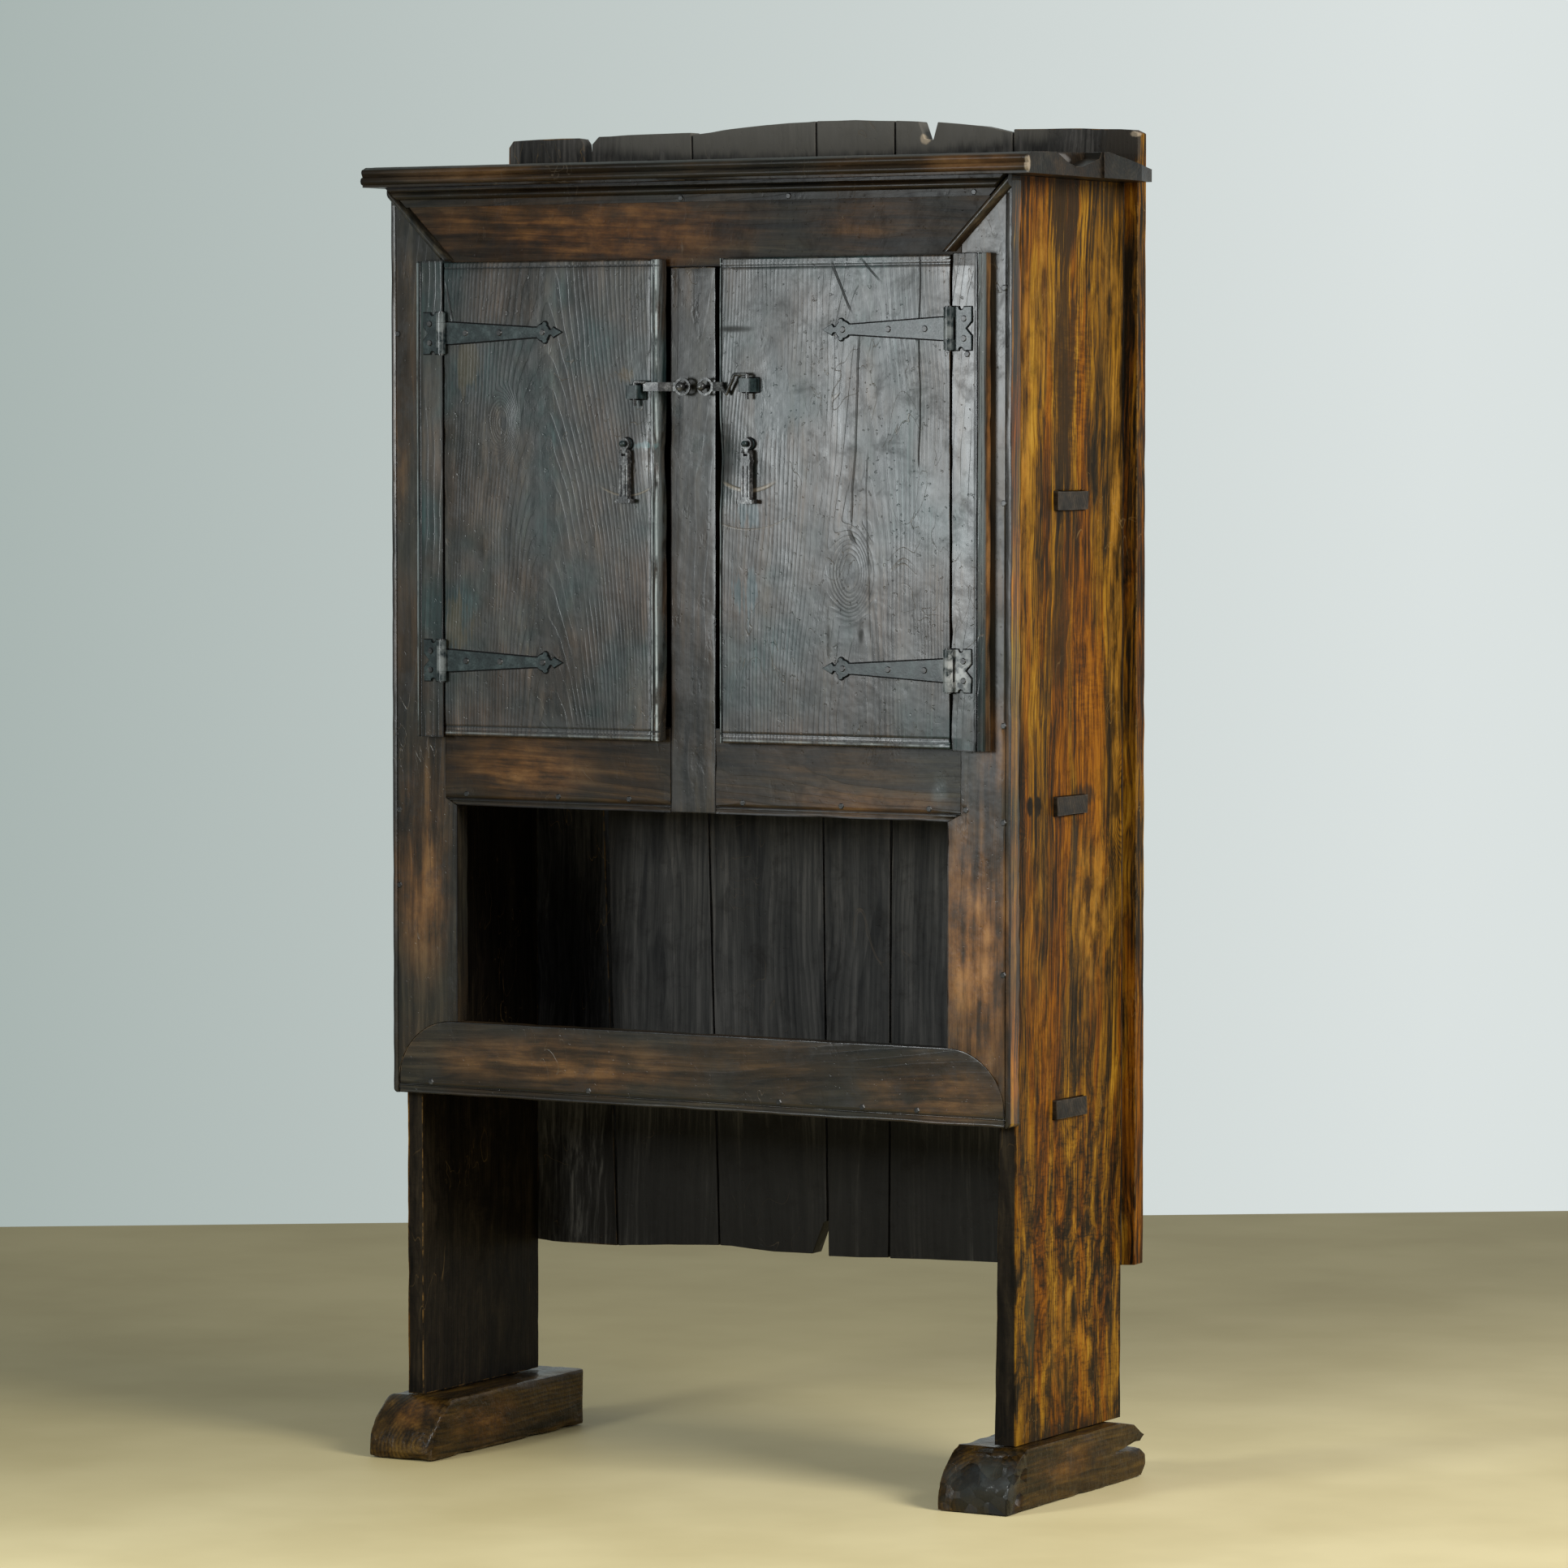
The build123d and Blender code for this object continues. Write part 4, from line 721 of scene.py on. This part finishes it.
def rounded(node, way, radius):
    """How a front corner is rounded over: its right one where way is 1, else its left one.

    Gives the move of a point, and the cuts it needs.
    """
    low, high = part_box(node)
    edge_x = high[0] if way > 0 else low[0]
    steps = [radius * share for share in (0.19, 0.44, 0.75, 1.0)]
    cuts = [(0, edge_x - way * step) for step in steps] + [(1, low[1] + step) for step in steps]

    def carve(point):
        corner = Vector(((edge_x - point.x) * way - radius, point.y - low[1] - radius))
        if corner.x > 0 or corner.y > 0 or corner.length <= radius:
            return Vector()
        pulled = corner.normalized() * radius - corner
        return Vector((-way * pulled.x, pulled.y, 0))

    return dict(carve=carve, cuts=cuts)


GRIP_Z = on_front(0, 1288).z  # where hands take hold of the doors
GRIP_HALF = 0.036
HOLLOW = 0.0025
WORN_REACH = 0.024  # how far in from the edge a door is worn


def hand_worn(node, way):
    """How a door's free edge is worn: rounded over its whole height, and hollowed by hands.

    way is 1 for a free edge that faces right. Gives the move of a point, and the cuts it needs.
    """
    low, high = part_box(node)
    edge_x = high[0] if way > 0 else low[0]
    rounding = rounded(node, way, 0.008)
    cuts = rounding["cuts"] + [(0, edge_x - way * step) for step in (0.011, 0.020)]
    cuts += [(2, GRIP_Z + 0.007 * step) for step in range(-7, 8)]

    def carve(point):
        across = (edge_x - point.x) * way
        behind = point.y - low[1]
        move = rounding["carve"](point)
        swell = math.exp(-(((point.z - GRIP_Z) / GRIP_HALF) ** 2))
        ragged = 0.0016 * max(0.0, noise.noise(Vector((0.3, way, point.z * 26))))
        if across < WORN_REACH:
            fade = 1 - max(0.0, across) / WORN_REACH
            move.x -= way * fade * (HOLLOW * swell + ragged)
            if behind < 0.012:
                move.y += fade * 0.0035 * swell * (1 - behind / 0.012)
        return move

    return dict(carve=carve, cuts=cuts)


def level_normals(piece):
    """Large faces keep their own direction, so only the rounded edges beside them bend the light."""
    weighted = piece.modifiers.new("level", "WEIGHTED_NORMAL")
    weighted.mode = "FACE_AREA"
    weighted.keep_sharp = True


def dress(node, material, soften=0.0):
    """A CAD node that keeps its shape: its material, and slightly rounded edges."""
    piece = nodes[node]
    for slot in piece.material_slots:
        slot.material = material
    if soften:
        bevel = piece.modifiers.new("soften", "BEVEL")
        bevel.width = soften
        bevel.segments = 2
        bevel.limit_method = "ANGLE"
        bevel.angle_limit = SHARP
        level_normals(piece)


def dirt_and_shadow_rim(node, support, body, material, reach=0.0018, film=0.0003, sunk=0.0004):
    """A thin film of wax and sooty grime on the wood, standing out a little all round an iron fitting:
    grime, and a painted contact shadow.
    """
    low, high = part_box(support)
    face = low[1]
    bm = tidy_copy(node)
    bm.normal_update()
    moves = []
    for vert in bm.verts:
        side = Vector((vert.normal.x, 0, vert.normal.z))
        moves.append(side.normalized() * reach if side.length > 0.1 else Vector())
    for vert, move in zip(bm.verts, moves):
        vert.co += move
        vert.co.y = face - film if vert.co.y < face - sunk else face + sunk
    for edge_x, outward in ((low[0] + 0.001, -1), (high[0] - 0.001, 1)):
        geometry = bm.verts[:] + bm.edges[:] + bm.faces[:]
        bmesh.ops.bisect_plane(bm, geom=geometry, plane_co=(edge_x, 0, 0), plane_no=(outward, 0, 0),
                               clear_outer=True)
    rim = new_piece(bm, f"{node}_dirt_and_shadow", material)
    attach(rim, body)


# ---------------------------------------------------------------- the side boards
side_look = {
    "right": dict(
        rubs=[(on_side(286, 1150), (30, 26, 480), 0.8), (on_side(42, 1280), (30, 26, 420), 0.75),
              (on_side(88, 1490), (30, 22, 170), 0.8), (on_side(222, 720), (40, 80, 150), 0.9),
              (on_side(150, 190), (40, 70, 120), 0.5), (on_side(70, 700), (40, 50, 180), 0.45),
              (on_side(270, 1480), (40, 60, 200), 0.4)],
        mottles=[(on_side(160, 260), (60, 300, 420), 0.9), (on_side(225, 730), (40, 110, 200), 0.8),
                 (on_side(160, 1080), (40, 140, 90), 0.35)],
        ripples=[(on_side(165, 1390), (40, 75, 150), 1.0), (on_side(240, 730), (40, 90, 180), 0.7),
                 (on_side(210, 1010), (40, 90, 120), 0.6)],
        stains=[(on_side(150, 1590), (40, 100, 170), (0.024, 0.014, 0.006), 0.9),
                (on_side(150, 1420), (40, 80, 260), (0.034, 0.018, 0.006), 0.75),
                (on_side(130, 1080), (40, 70, 160), (0.034, 0.018, 0.006), 0.6),
                (on_side(270, 1610), (40, 60, 50), (0.030, 0.020, 0.010), 0.6),
                (on_side(150, 70), (60, 220, 55), (0.020, 0.014, 0.008), 0.8),
                (on_side(175, 800), (40, 18, 120), (0.028, 0.020, 0.012), 0.7),
                (on_side(60, 230), (40, 26, 130), (0.045, 0.038, 0.018), 0.7),
                (on_side(210, 870), (40, 90, 30), (0.020, 0.014, 0.008), 0.8)],
        knots=[(on_side(58, 861), (30, 9, 15)), (on_side(79, 860), (30, 9, 15)),
               (on_side(289, 852), (30, 12, 20))]),
    "left": dict(mottles=[(place(-SIDE_X, 160, 300), (60, 300, 420), 0.9)]),
}
for hand, way in (("right", 1), ("left", -1)):
    outer_face = place(way * SIDE_X, 0, 0).x
    skin = (0, outer_face - way * 0.0035, outer_face - way * 0.0018)
    worn(f"side_{hand}", "case", "side_wood", wood(f"side_{hand}", SIDE, hidden=skin, **side_look[hand]))


# ---------------------------------------------------------------- looks of the face frame
stile_look = {
    "right": dict(rubs=[(on_front(402, 690), (80, 60, 240), 1.0), (on_front(430, 930), (40, 60, 90), 0.45)],
                  hidden=(0, on_front(447.5, 0).x, on_front(449.5, 0).x)),
    "left": dict(rubs=[(on_front(-405, 760), (60, 60, 190), 0.55),
                       (on_front(-438, 1290), (20, 60, 120), 0.3)]),
}
mid_rail_look = {
    "right": dict(rubs=[(on_front(250, 860), (160, 60, 30), 0.3)],
                  # shine: a painted highlight, and a smoother finish, at the rail's right end
                  shine=[(on_front(352, 872), (16, 20, 40), 0.9)]),
    "left": dict(rubs=[(on_front(-250, 895), (140, 60, 60), 0.45)]),
}
strip_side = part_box("hinge_strip_right")[1][0]
strip_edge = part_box("hinge_strip_left")[0][0]
strip_look = {
    "right": dict(rubs=[((strip_side, place(0, -6, 0).y, 1.25), (4, 12, 520), 0.7)],
                  # grooves: painted shade along their bottoms
                  grooves=[(0, strip_side - 0.0085, 0.9)],
                  # bead: a painted highlight along the rounded edge
                  bead=(strip_side - 0.0065, strip_side + 0.001)),
    # the left strip: painted shade in its groove, and painted highlights on its arris and bead
    "left": dict(grooves=[(0, strip_edge + 0.0085, 0.9)], arrises=[(0, strip_edge + 0.003, 0.5)],
                 bead=(strip_edge - 0.001, strip_edge + 0.0065)),
}
top_rubs = [(on_front(-170, 1575), (340, 60, 80), 0.6), (on_front(250, 1580), (120, 60, 60), 0.25)]
# the muntin's shine: painted highlights, and a smoother finish, by the latches
muntin_shine = [(on_front(12, 1290), (26, 30, 60), 0.9), (on_front(-24, 1335), (12, 30, 30), 0.7)]
# the lip rail's groove, with painted shade along its bottom
lip_grooves = [(2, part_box("lip_rail")[0][2] + 0.012, 0.8)]
lip_rubs = [(on_front(340, 505), (130, 60, 60), 0.5), (on_front(-190, 520), (250, 60, 44), 0.45)]


# ---------------------------------------------------------------- looks of the doors
left_edge, right_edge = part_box("door_left")[1][0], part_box("door_right")[0][0]
(_, _, door_bottom), (_, _, door_top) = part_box("door_left")
OCHRE = (0.070, 0.054, 0.024)
TEAL = (0.012, 0.045, 0.055)
door_look = {
    "left": dict(
        heart=(0, 66, 0), lean=(0.09, 0.02),
        knots=[(on_door(-265, 1330), (6, 30, 12))],
        stains=[(on_door(-330, 1077), (44, 30, 70), OCHRE, 0.45),
                (on_door(-323, 1402), (26, 30, 44), OCHRE, 0.45),
                (on_door(-82, 1392), (16, 30, 14), (0.085, 0.055, 0.018), 0.4),
                (on_door(-52, 1303), (24, 30, 7), (0.060, 0.110, 0.115), 0.8)],
        # bead: a painted highlight along the rounded free edge
        bead=(left_edge - 0.0105, left_edge + 0.001),
        # arrises: painted highlight lines
        arrises=[(0, left_edge - 0.0100, 0.55), (0, left_edge - 0.0040, 0.9), (2, door_bottom + 0.004, 0.3)],
        arcs=[(on_door(-84, 1306), 66, 1.8, 0.5)],
        # grooves: painted shade along their bottoms
        grooves=[(0, left_edge - 0.0122, 1.0), (2, door_top - 0.008, 0.6), (2, door_bottom + 0.012, 0.9)],
        cracks=[(-342, 1455, 1515, -0.2, 1.8, 1.0), (-192, 938, 958, -1.05, 1.4, 0.6)],
        dull=[(on_door(-200, 945), (200, 30, 22), 0.5)],
        # shine: painted highlights, and a smoother finish, at the grip and along the free edge
        shine=[(on_door(-45, 1300), (30, 30, 60), 0.9), (place(-38, -16, 1270), (12, 24, 460), 0.8)]),
    "right": dict(
        heart=(30, 75, 0), lean=(0.05, -0.02),
        knots=[(on_door(239, 1145), (9, 30, 16))],
        # the first stain is painted shade in the worn hollow at the grip
        stains=[(on_door(62, 1278), (10, 20, 12), SOOT_AND_SHADE, 1.0),
                (on_door(90, 1217), (40, 30, 30), TEAL, 0.6),
                (on_door(92, 1118), (40, 30, 50), TEAL, 0.6),
                (on_door(130, 1350), (80, 30, 60), (0.018, 0.040, 0.046), 0.35)],
        # bead: a painted highlight along the rounded free edge
        bead=(right_edge - 0.001, right_edge + 0.005),
        # arrises: painted highlight lines
        arrises=[(0, right_edge + 0.0038, 0.8), (2, door_bottom + 0.004, 0.4)],
        arcs=[(on_door(93, 1313), 66, 3.4, 0.8), (on_door(93, 1313), 114, 1.4, 0.25)],
        # grooves: painted shade along their bottoms
        grooves=[(0, right_edge + 0.0065, 0.7), (2, door_top - 0.011, 0.8), (2, door_bottom + 0.012, 0.9)],
        cracks=[(335, 1270, 1545, 0.0, 1.4, 0.9), (249, 1176, 1205, -0.5, 4.2, 1.0),
                (241, 1198, 1445, 0.035, 1.8, 0.5), (241, 1462, 1535, -0.45, 2.0, 0.8),
                (283, 1500, 1540, -0.92, 2.0, 0.8), (266, 1060, 1300, -0.02, 1.2, 0.25)],
        # dull: a gouge and dark marks, and painted shade in the worn hollow at the grip
        dull=[(on_door(70, 1447), (40, 30, 6), 0.9), (on_door(62, 1278), (16, 30, 20), 1.0),
              (on_door(207, 1062), (4, 30, 40), 0.9), (on_door(253, 1074), (6, 30, 24), 0.9)],
        # shine: painted highlights, and a smoother finish, at the grip and along the free edge
        shine=[(on_door(60, 1240), (30, 30, 40), 0.6), (place(50, -18, 1270), (9, 24, 460), 0.8)]),
}


# ---------------------------------------------------------------- front and feet
toe = place(440, -60, 50)
foot_look = {
    "right": dict(rubs=[(place(471, 120, 45), (20, 120, 32), 0.8)],
                  stains=[(toe, (110, 80, 110), (0.030, 0.031, 0.029), 0.95)],
                  # shine: painted glints, and a smoother finish, on the hewn toe
                  shine=[(place(430, -60, 46), (90, 80, 26), 1.0)],
                  facets=[(toe, (90, 80, 90), 1.0)]),
    "left": dict(rubs=[(place(-410, -10, 60), (50, 30, 50), 0.9),
                       (place(-374, 90, 40), (20, 110, 36), 0.8)]),
}
for hand, outwards in (("left", -1), ("right", 1)):
    stile, rail, door = f"stile_{hand}", f"mid_rail_{hand}", f"door_{hand}"
    strip, foot = f"hinge_strip_{hand}", f"foot_{hand}"
    # the rail's groove, with painted shade along its bottom
    rail_grooves = [(2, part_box(rail)[0][2] + 0.008, 0.8)]
    worn(stile, "case", "frame_wood", wood(stile, STILE[hand], **stile_look[hand]))
    worn(rail, "case", "frame_wood",
         wood(rail, MID_RAIL[hand], "X", grooves=rail_grooves, **mid_rail_look[hand]),
         grooves=rail_grooves)
    worn(door, door, "door_wood", wood(door, DOOR, **door_look[hand]),
         grooves=door_look[hand]["grooves"], **hand_worn(door, -outwards))
    worn(strip, "case", "frame_wood", wood(strip, STRIP, **strip_look[hand]),
         grooves=strip_look[hand]["grooves"], **rounded(strip, outwards, 0.006))
    worn(foot, "case", "foot_wood", wood(foot, FOOT, "Y", **foot_look[hand]),
         cell=0.009, rounding=0.005, wave=0.002, wear=0.003)
    dress(f"corner_bead_{hand}", wood(f"corner_bead_{hand}", FRONT))
worn("top_rail", "case", "frame_wood", wood("top_rail", TOP_RAIL, "X", rubs=top_rubs))
worn("muntin", "case", "frame_wood", wood("muntin", FRONT, shine=muntin_shine))
worn("lip_rail", "case", "frame_wood", wood("lip_rail", FRONT, "X", rubs=lip_rubs, grooves=lip_grooves),
     grooves=lip_grooves)


# ---------------------------------------------------------------- cornice, back and shelves
cornice_look = dict(
    rubs=[(place(420, -50, 1646), (110, 30, 22), 0.5), (place(-300, -50, 1646), (160, 30, 16), 0.3)],
    stains=[(place(480, 92, 1652), (40, 34, 12), (0.16, 0.15, 0.14), 0.9),
            (place(492, -38, 1642), (6, 8, 14), BARE, 0.6)],
    dull=[(place(0, 170, 1662), (760, 250, 60), 1.0)])
worn("cornice_board", "case", "frame_wood", wood("cornice_board", CORNICE, "X", **cornice_look))
dress("cornice_moulding", wood("cornice_moulding", CORNICE, "X"))

DUST = (0.105, 0.098, 0.083)
# the back boards: dusty at the top, and darkened with painted shade low down, beneath the lip rail
all_boards = [(on_back(0, 1700), (700, 60, 50), DUST, 0.8), (on_back(0, 320), (900, 60, 290), SOOT_AND_SHADE, 0.85)]
board_stains = {
    1: [(on_back(-380, 640), (100, 40, 240), SOOT_AND_SHADE, 0.6)],
    5: [(on_back(163, 1693), (16, 30, 14), BARE, 0.8)],
    6: [(on_back(446, 1680), (60, 30, 60), (0.035, 0.030, 0.024), 1.0),
        (on_back(462, 1692), (14, 30, 8), BARE, 0.6)],
}
outer_skin = {
    1: (0, on_back(-463, 0).x, on_back(-465, 0).x),
    6: (0, on_back(446, 0).x, on_back(448, 0).x),
}
for number in range(1, 7):
    node = f"back_board_{number}"
    look = OUTER_BACK if number in outer_skin else INNER
    stains = all_boards + board_stains.get(number, [])
    material = wood(node, look, stains=stains, hidden=outer_skin.get(number))
    worn(node, "case", "inner_wood", material, cell=0.03)
for node in ("upper_shelf", "cupboard_floor", "niche_floor"):
    worn(node, "case", "inner_wood", wood(node, SHELF, "X"), cell=0.03)


# ---------------------------------------------------------------- the iron fittings
def middle_of(node):
    low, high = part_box(node)
    return (Vector(low) + Vector(high)) / 2


# bright iron on the hinge barrels and the lower right plate: bare iron, and painted highlight
barrel_wear_and_highlights = [(middle_of(node), (9, 14, 52), 0.5) for node in nodes if node.startswith("hinge_pin")]
barrel_wear_and_highlights.append((middle_of("hinge_plate_right_lower"), (30, 24, 46), 1.0))
latch_rubs = [(place(-55, -36, 1410), (32, 30, 14), 0.8), (place(-20, -36, 1410), (22, 30, 12), 0.4)]
black_iron = iron("black", [(0.006, 0.010, 0.011), (0.013, 0.021, 0.022), (0.040, 0.056, 0.057)],
                  rough=0.30, specular=0.24, rust=0.2, rubs=barrel_wear_and_highlights)
bright_iron = iron("bright", [(0.010, 0.010, 0.010), (0.028, 0.028, 0.028), (0.15, 0.15, 0.147)],
                   rough=0.26, specular=0.45, metallic=0.3, rubs=latch_rubs)
nail_iron = iron("nail", [(0.006, 0.006, 0.006), (0.012, 0.012, 0.012), (0.06, 0.06, 0.06)],
                 rough=0.34, specular=0.3)
# the near-black of the rims round the fittings: grime, and painted contact shadow
soot = iron("soot", [(0.002, 0.002, 0.002), (0.003, 0.003, 0.003), (0.006, 0.005, 0.005)],
            rough=0.7, specular=0.1)
ON_DOORS = ("strap_left", "strap_right", "latch_bracket", "pull_staple")
for node in nodes:
    hand = "left" if "left" in node else "right"
    if node.startswith(ON_DOORS):
        dirt_and_shadow_rim(node, f"door_{hand}", f"door_{hand}", soot)
        dress(node, black_iron, 0.0005)
    elif node.startswith("hinge_plate"):
        dirt_and_shadow_rim(node, f"hinge_strip_{hand}", "case", soot)
        dress(node, black_iron, 0.0005)
    elif node.startswith(("hinge_pin", "latch_", "pull_")):
        dress(node, bright_iron, 0.0005)
    elif "screws" in node or "nail" in node:
        dress(node, nail_iron, 0.0003)


# ---------------------------------------------------------------- stage, lights and camera
VIEW_YAW = math.radians(-30.064)
VIEW_PITCH = math.radians(3.067)
WALL_TURN = math.radians(34.9)  # the line where floor and backdrop meet
FLOOR_HALF = 2.62
FLOOR_DROP = 0.0004  # under the feet
PAINTED_FLOOR_SHADE = (0.52, 0.51, 0.45)

g = Surface("floor")
patches = g.stretched(g.position, (3, 3, 3), 4.0)
pine = g.ramp(patches, [(0.35, (0.66, 0.555, 0.29)), (0.65, (0.76, 0.65, 0.36))])
# painted shade: the floor is darker to the left and back, away from the key lamp
towards_key_lamp = g.vector("DOT_PRODUCT", g.position, (1.0, -0.5, 0), output="Value")
pine = g.mix(g.step(towards_key_lamp, -1.2, 0.6), g.mix(1.0, pine, PAINTED_FLOOR_SHADE, "MULTIPLY"), pine)
floor_material = g.finish({"Base Color": pine, "Roughness": 0.6, "Specular IOR Level": 0.3})
floor_mesh = bpy.data.meshes.new("floor")
turn = Matrix.Rotation(WALL_TURN, 3, "Z")
corners = [turn @ Vector((x, y, 0)) * FLOOR_HALF for x, y in ((-1, -1), (1, -1), (1, 1), (-1, 1))]
floor_mesh.from_pydata([corner - Vector((0, 0, FLOOR_DROP)) for corner in corners], [], [(0, 1, 2, 3)])
floor_mesh.materials.append(floor_material)
floor = bpy.data.objects.new("floor", floor_mesh)
bpy.context.scene.collection.objects.link(floor)

# The backdrop is the world: seen and mirrored as a pale wall, lighter on the right.
world = bpy.data.worlds.new("studio")
bpy.context.scene.world = world
g = Graph(world)
path = g.add("ShaderNodeLightPath").node
seen = g.plus(path.outputs["Is Camera Ray"], path.outputs["Is Glossy Ray"])
seen = g.plus(seen, path.outputs["Is Transmission Ray"])
seen.node.use_clamp = True
rightwards = (math.cos(VIEW_YAW), -math.sin(VIEW_YAW), 0)
direction = g.add("ShaderNodeTexCoord", output="Generated")
across = g.vector("DOT_PRODUCT", direction, rightwards, output="Value")
share = g.add("ShaderNodeMapRange", {"Value": across, "From Min": -0.13, "From Max": 0.10})
wall_colour = g.mix(share, (0.385, 0.45, 0.43), (0.71, 0.76, 0.75))
wall = g.add("ShaderNodeBackground", {"Color": wall_colour, "Strength": 1.0})
soft = g.add("ShaderNodeBackground", {"Color": (0.9, 0.95, 1.0, 1), "Strength": 0.3})
g.add("ShaderNodeOutputWorld", {0: g.add("ShaderNodeMixShader", {0: seen, 1: soft, 2: wall})})


def softbox(name, at, size, power, colour, target):
    """A square area lamp, turned to face a point of the cupboard."""
    lamp = bpy.data.lights.new(name, "AREA")
    lamp.size, lamp.energy, lamp.color = size, power, colour
    lit = bpy.data.objects.new(name, lamp)
    lit.location = at
    lit.rotation_euler = (Vector(target) - Vector(at)).to_track_quat("-Z", "Y").to_euler()
    lit.visible_camera = False
    bpy.context.scene.collection.objects.link(lit)


softbox("key", (4.6, -1.1, 3.0), 2.0, 260, colour=(1.0, 0.98, 0.95), target=(0, 0, 0.9))
softbox("sheen", (-0.86, -2.75, 1.36), 0.6, 48, colour=(0.93, 0.985, 1.0), target=(0.2, 0, 1.2))

camera = bpy.data.cameras.new("camera")
camera.sensor_width = 36
camera.lens = 149.0
camera.clip_end = 100
eye = bpy.data.objects.new("camera", camera)
eye.location = place(4161.98, -6963.22, 1314.34)
eye.rotation_euler = (math.radians(90) - VIEW_PITCH, 0, -VIEW_YAW)
bpy.context.scene.collection.objects.link(eye)
bpy.context.scene.camera = eye
bpy.context.scene.view_settings.view_transform = "Standard"
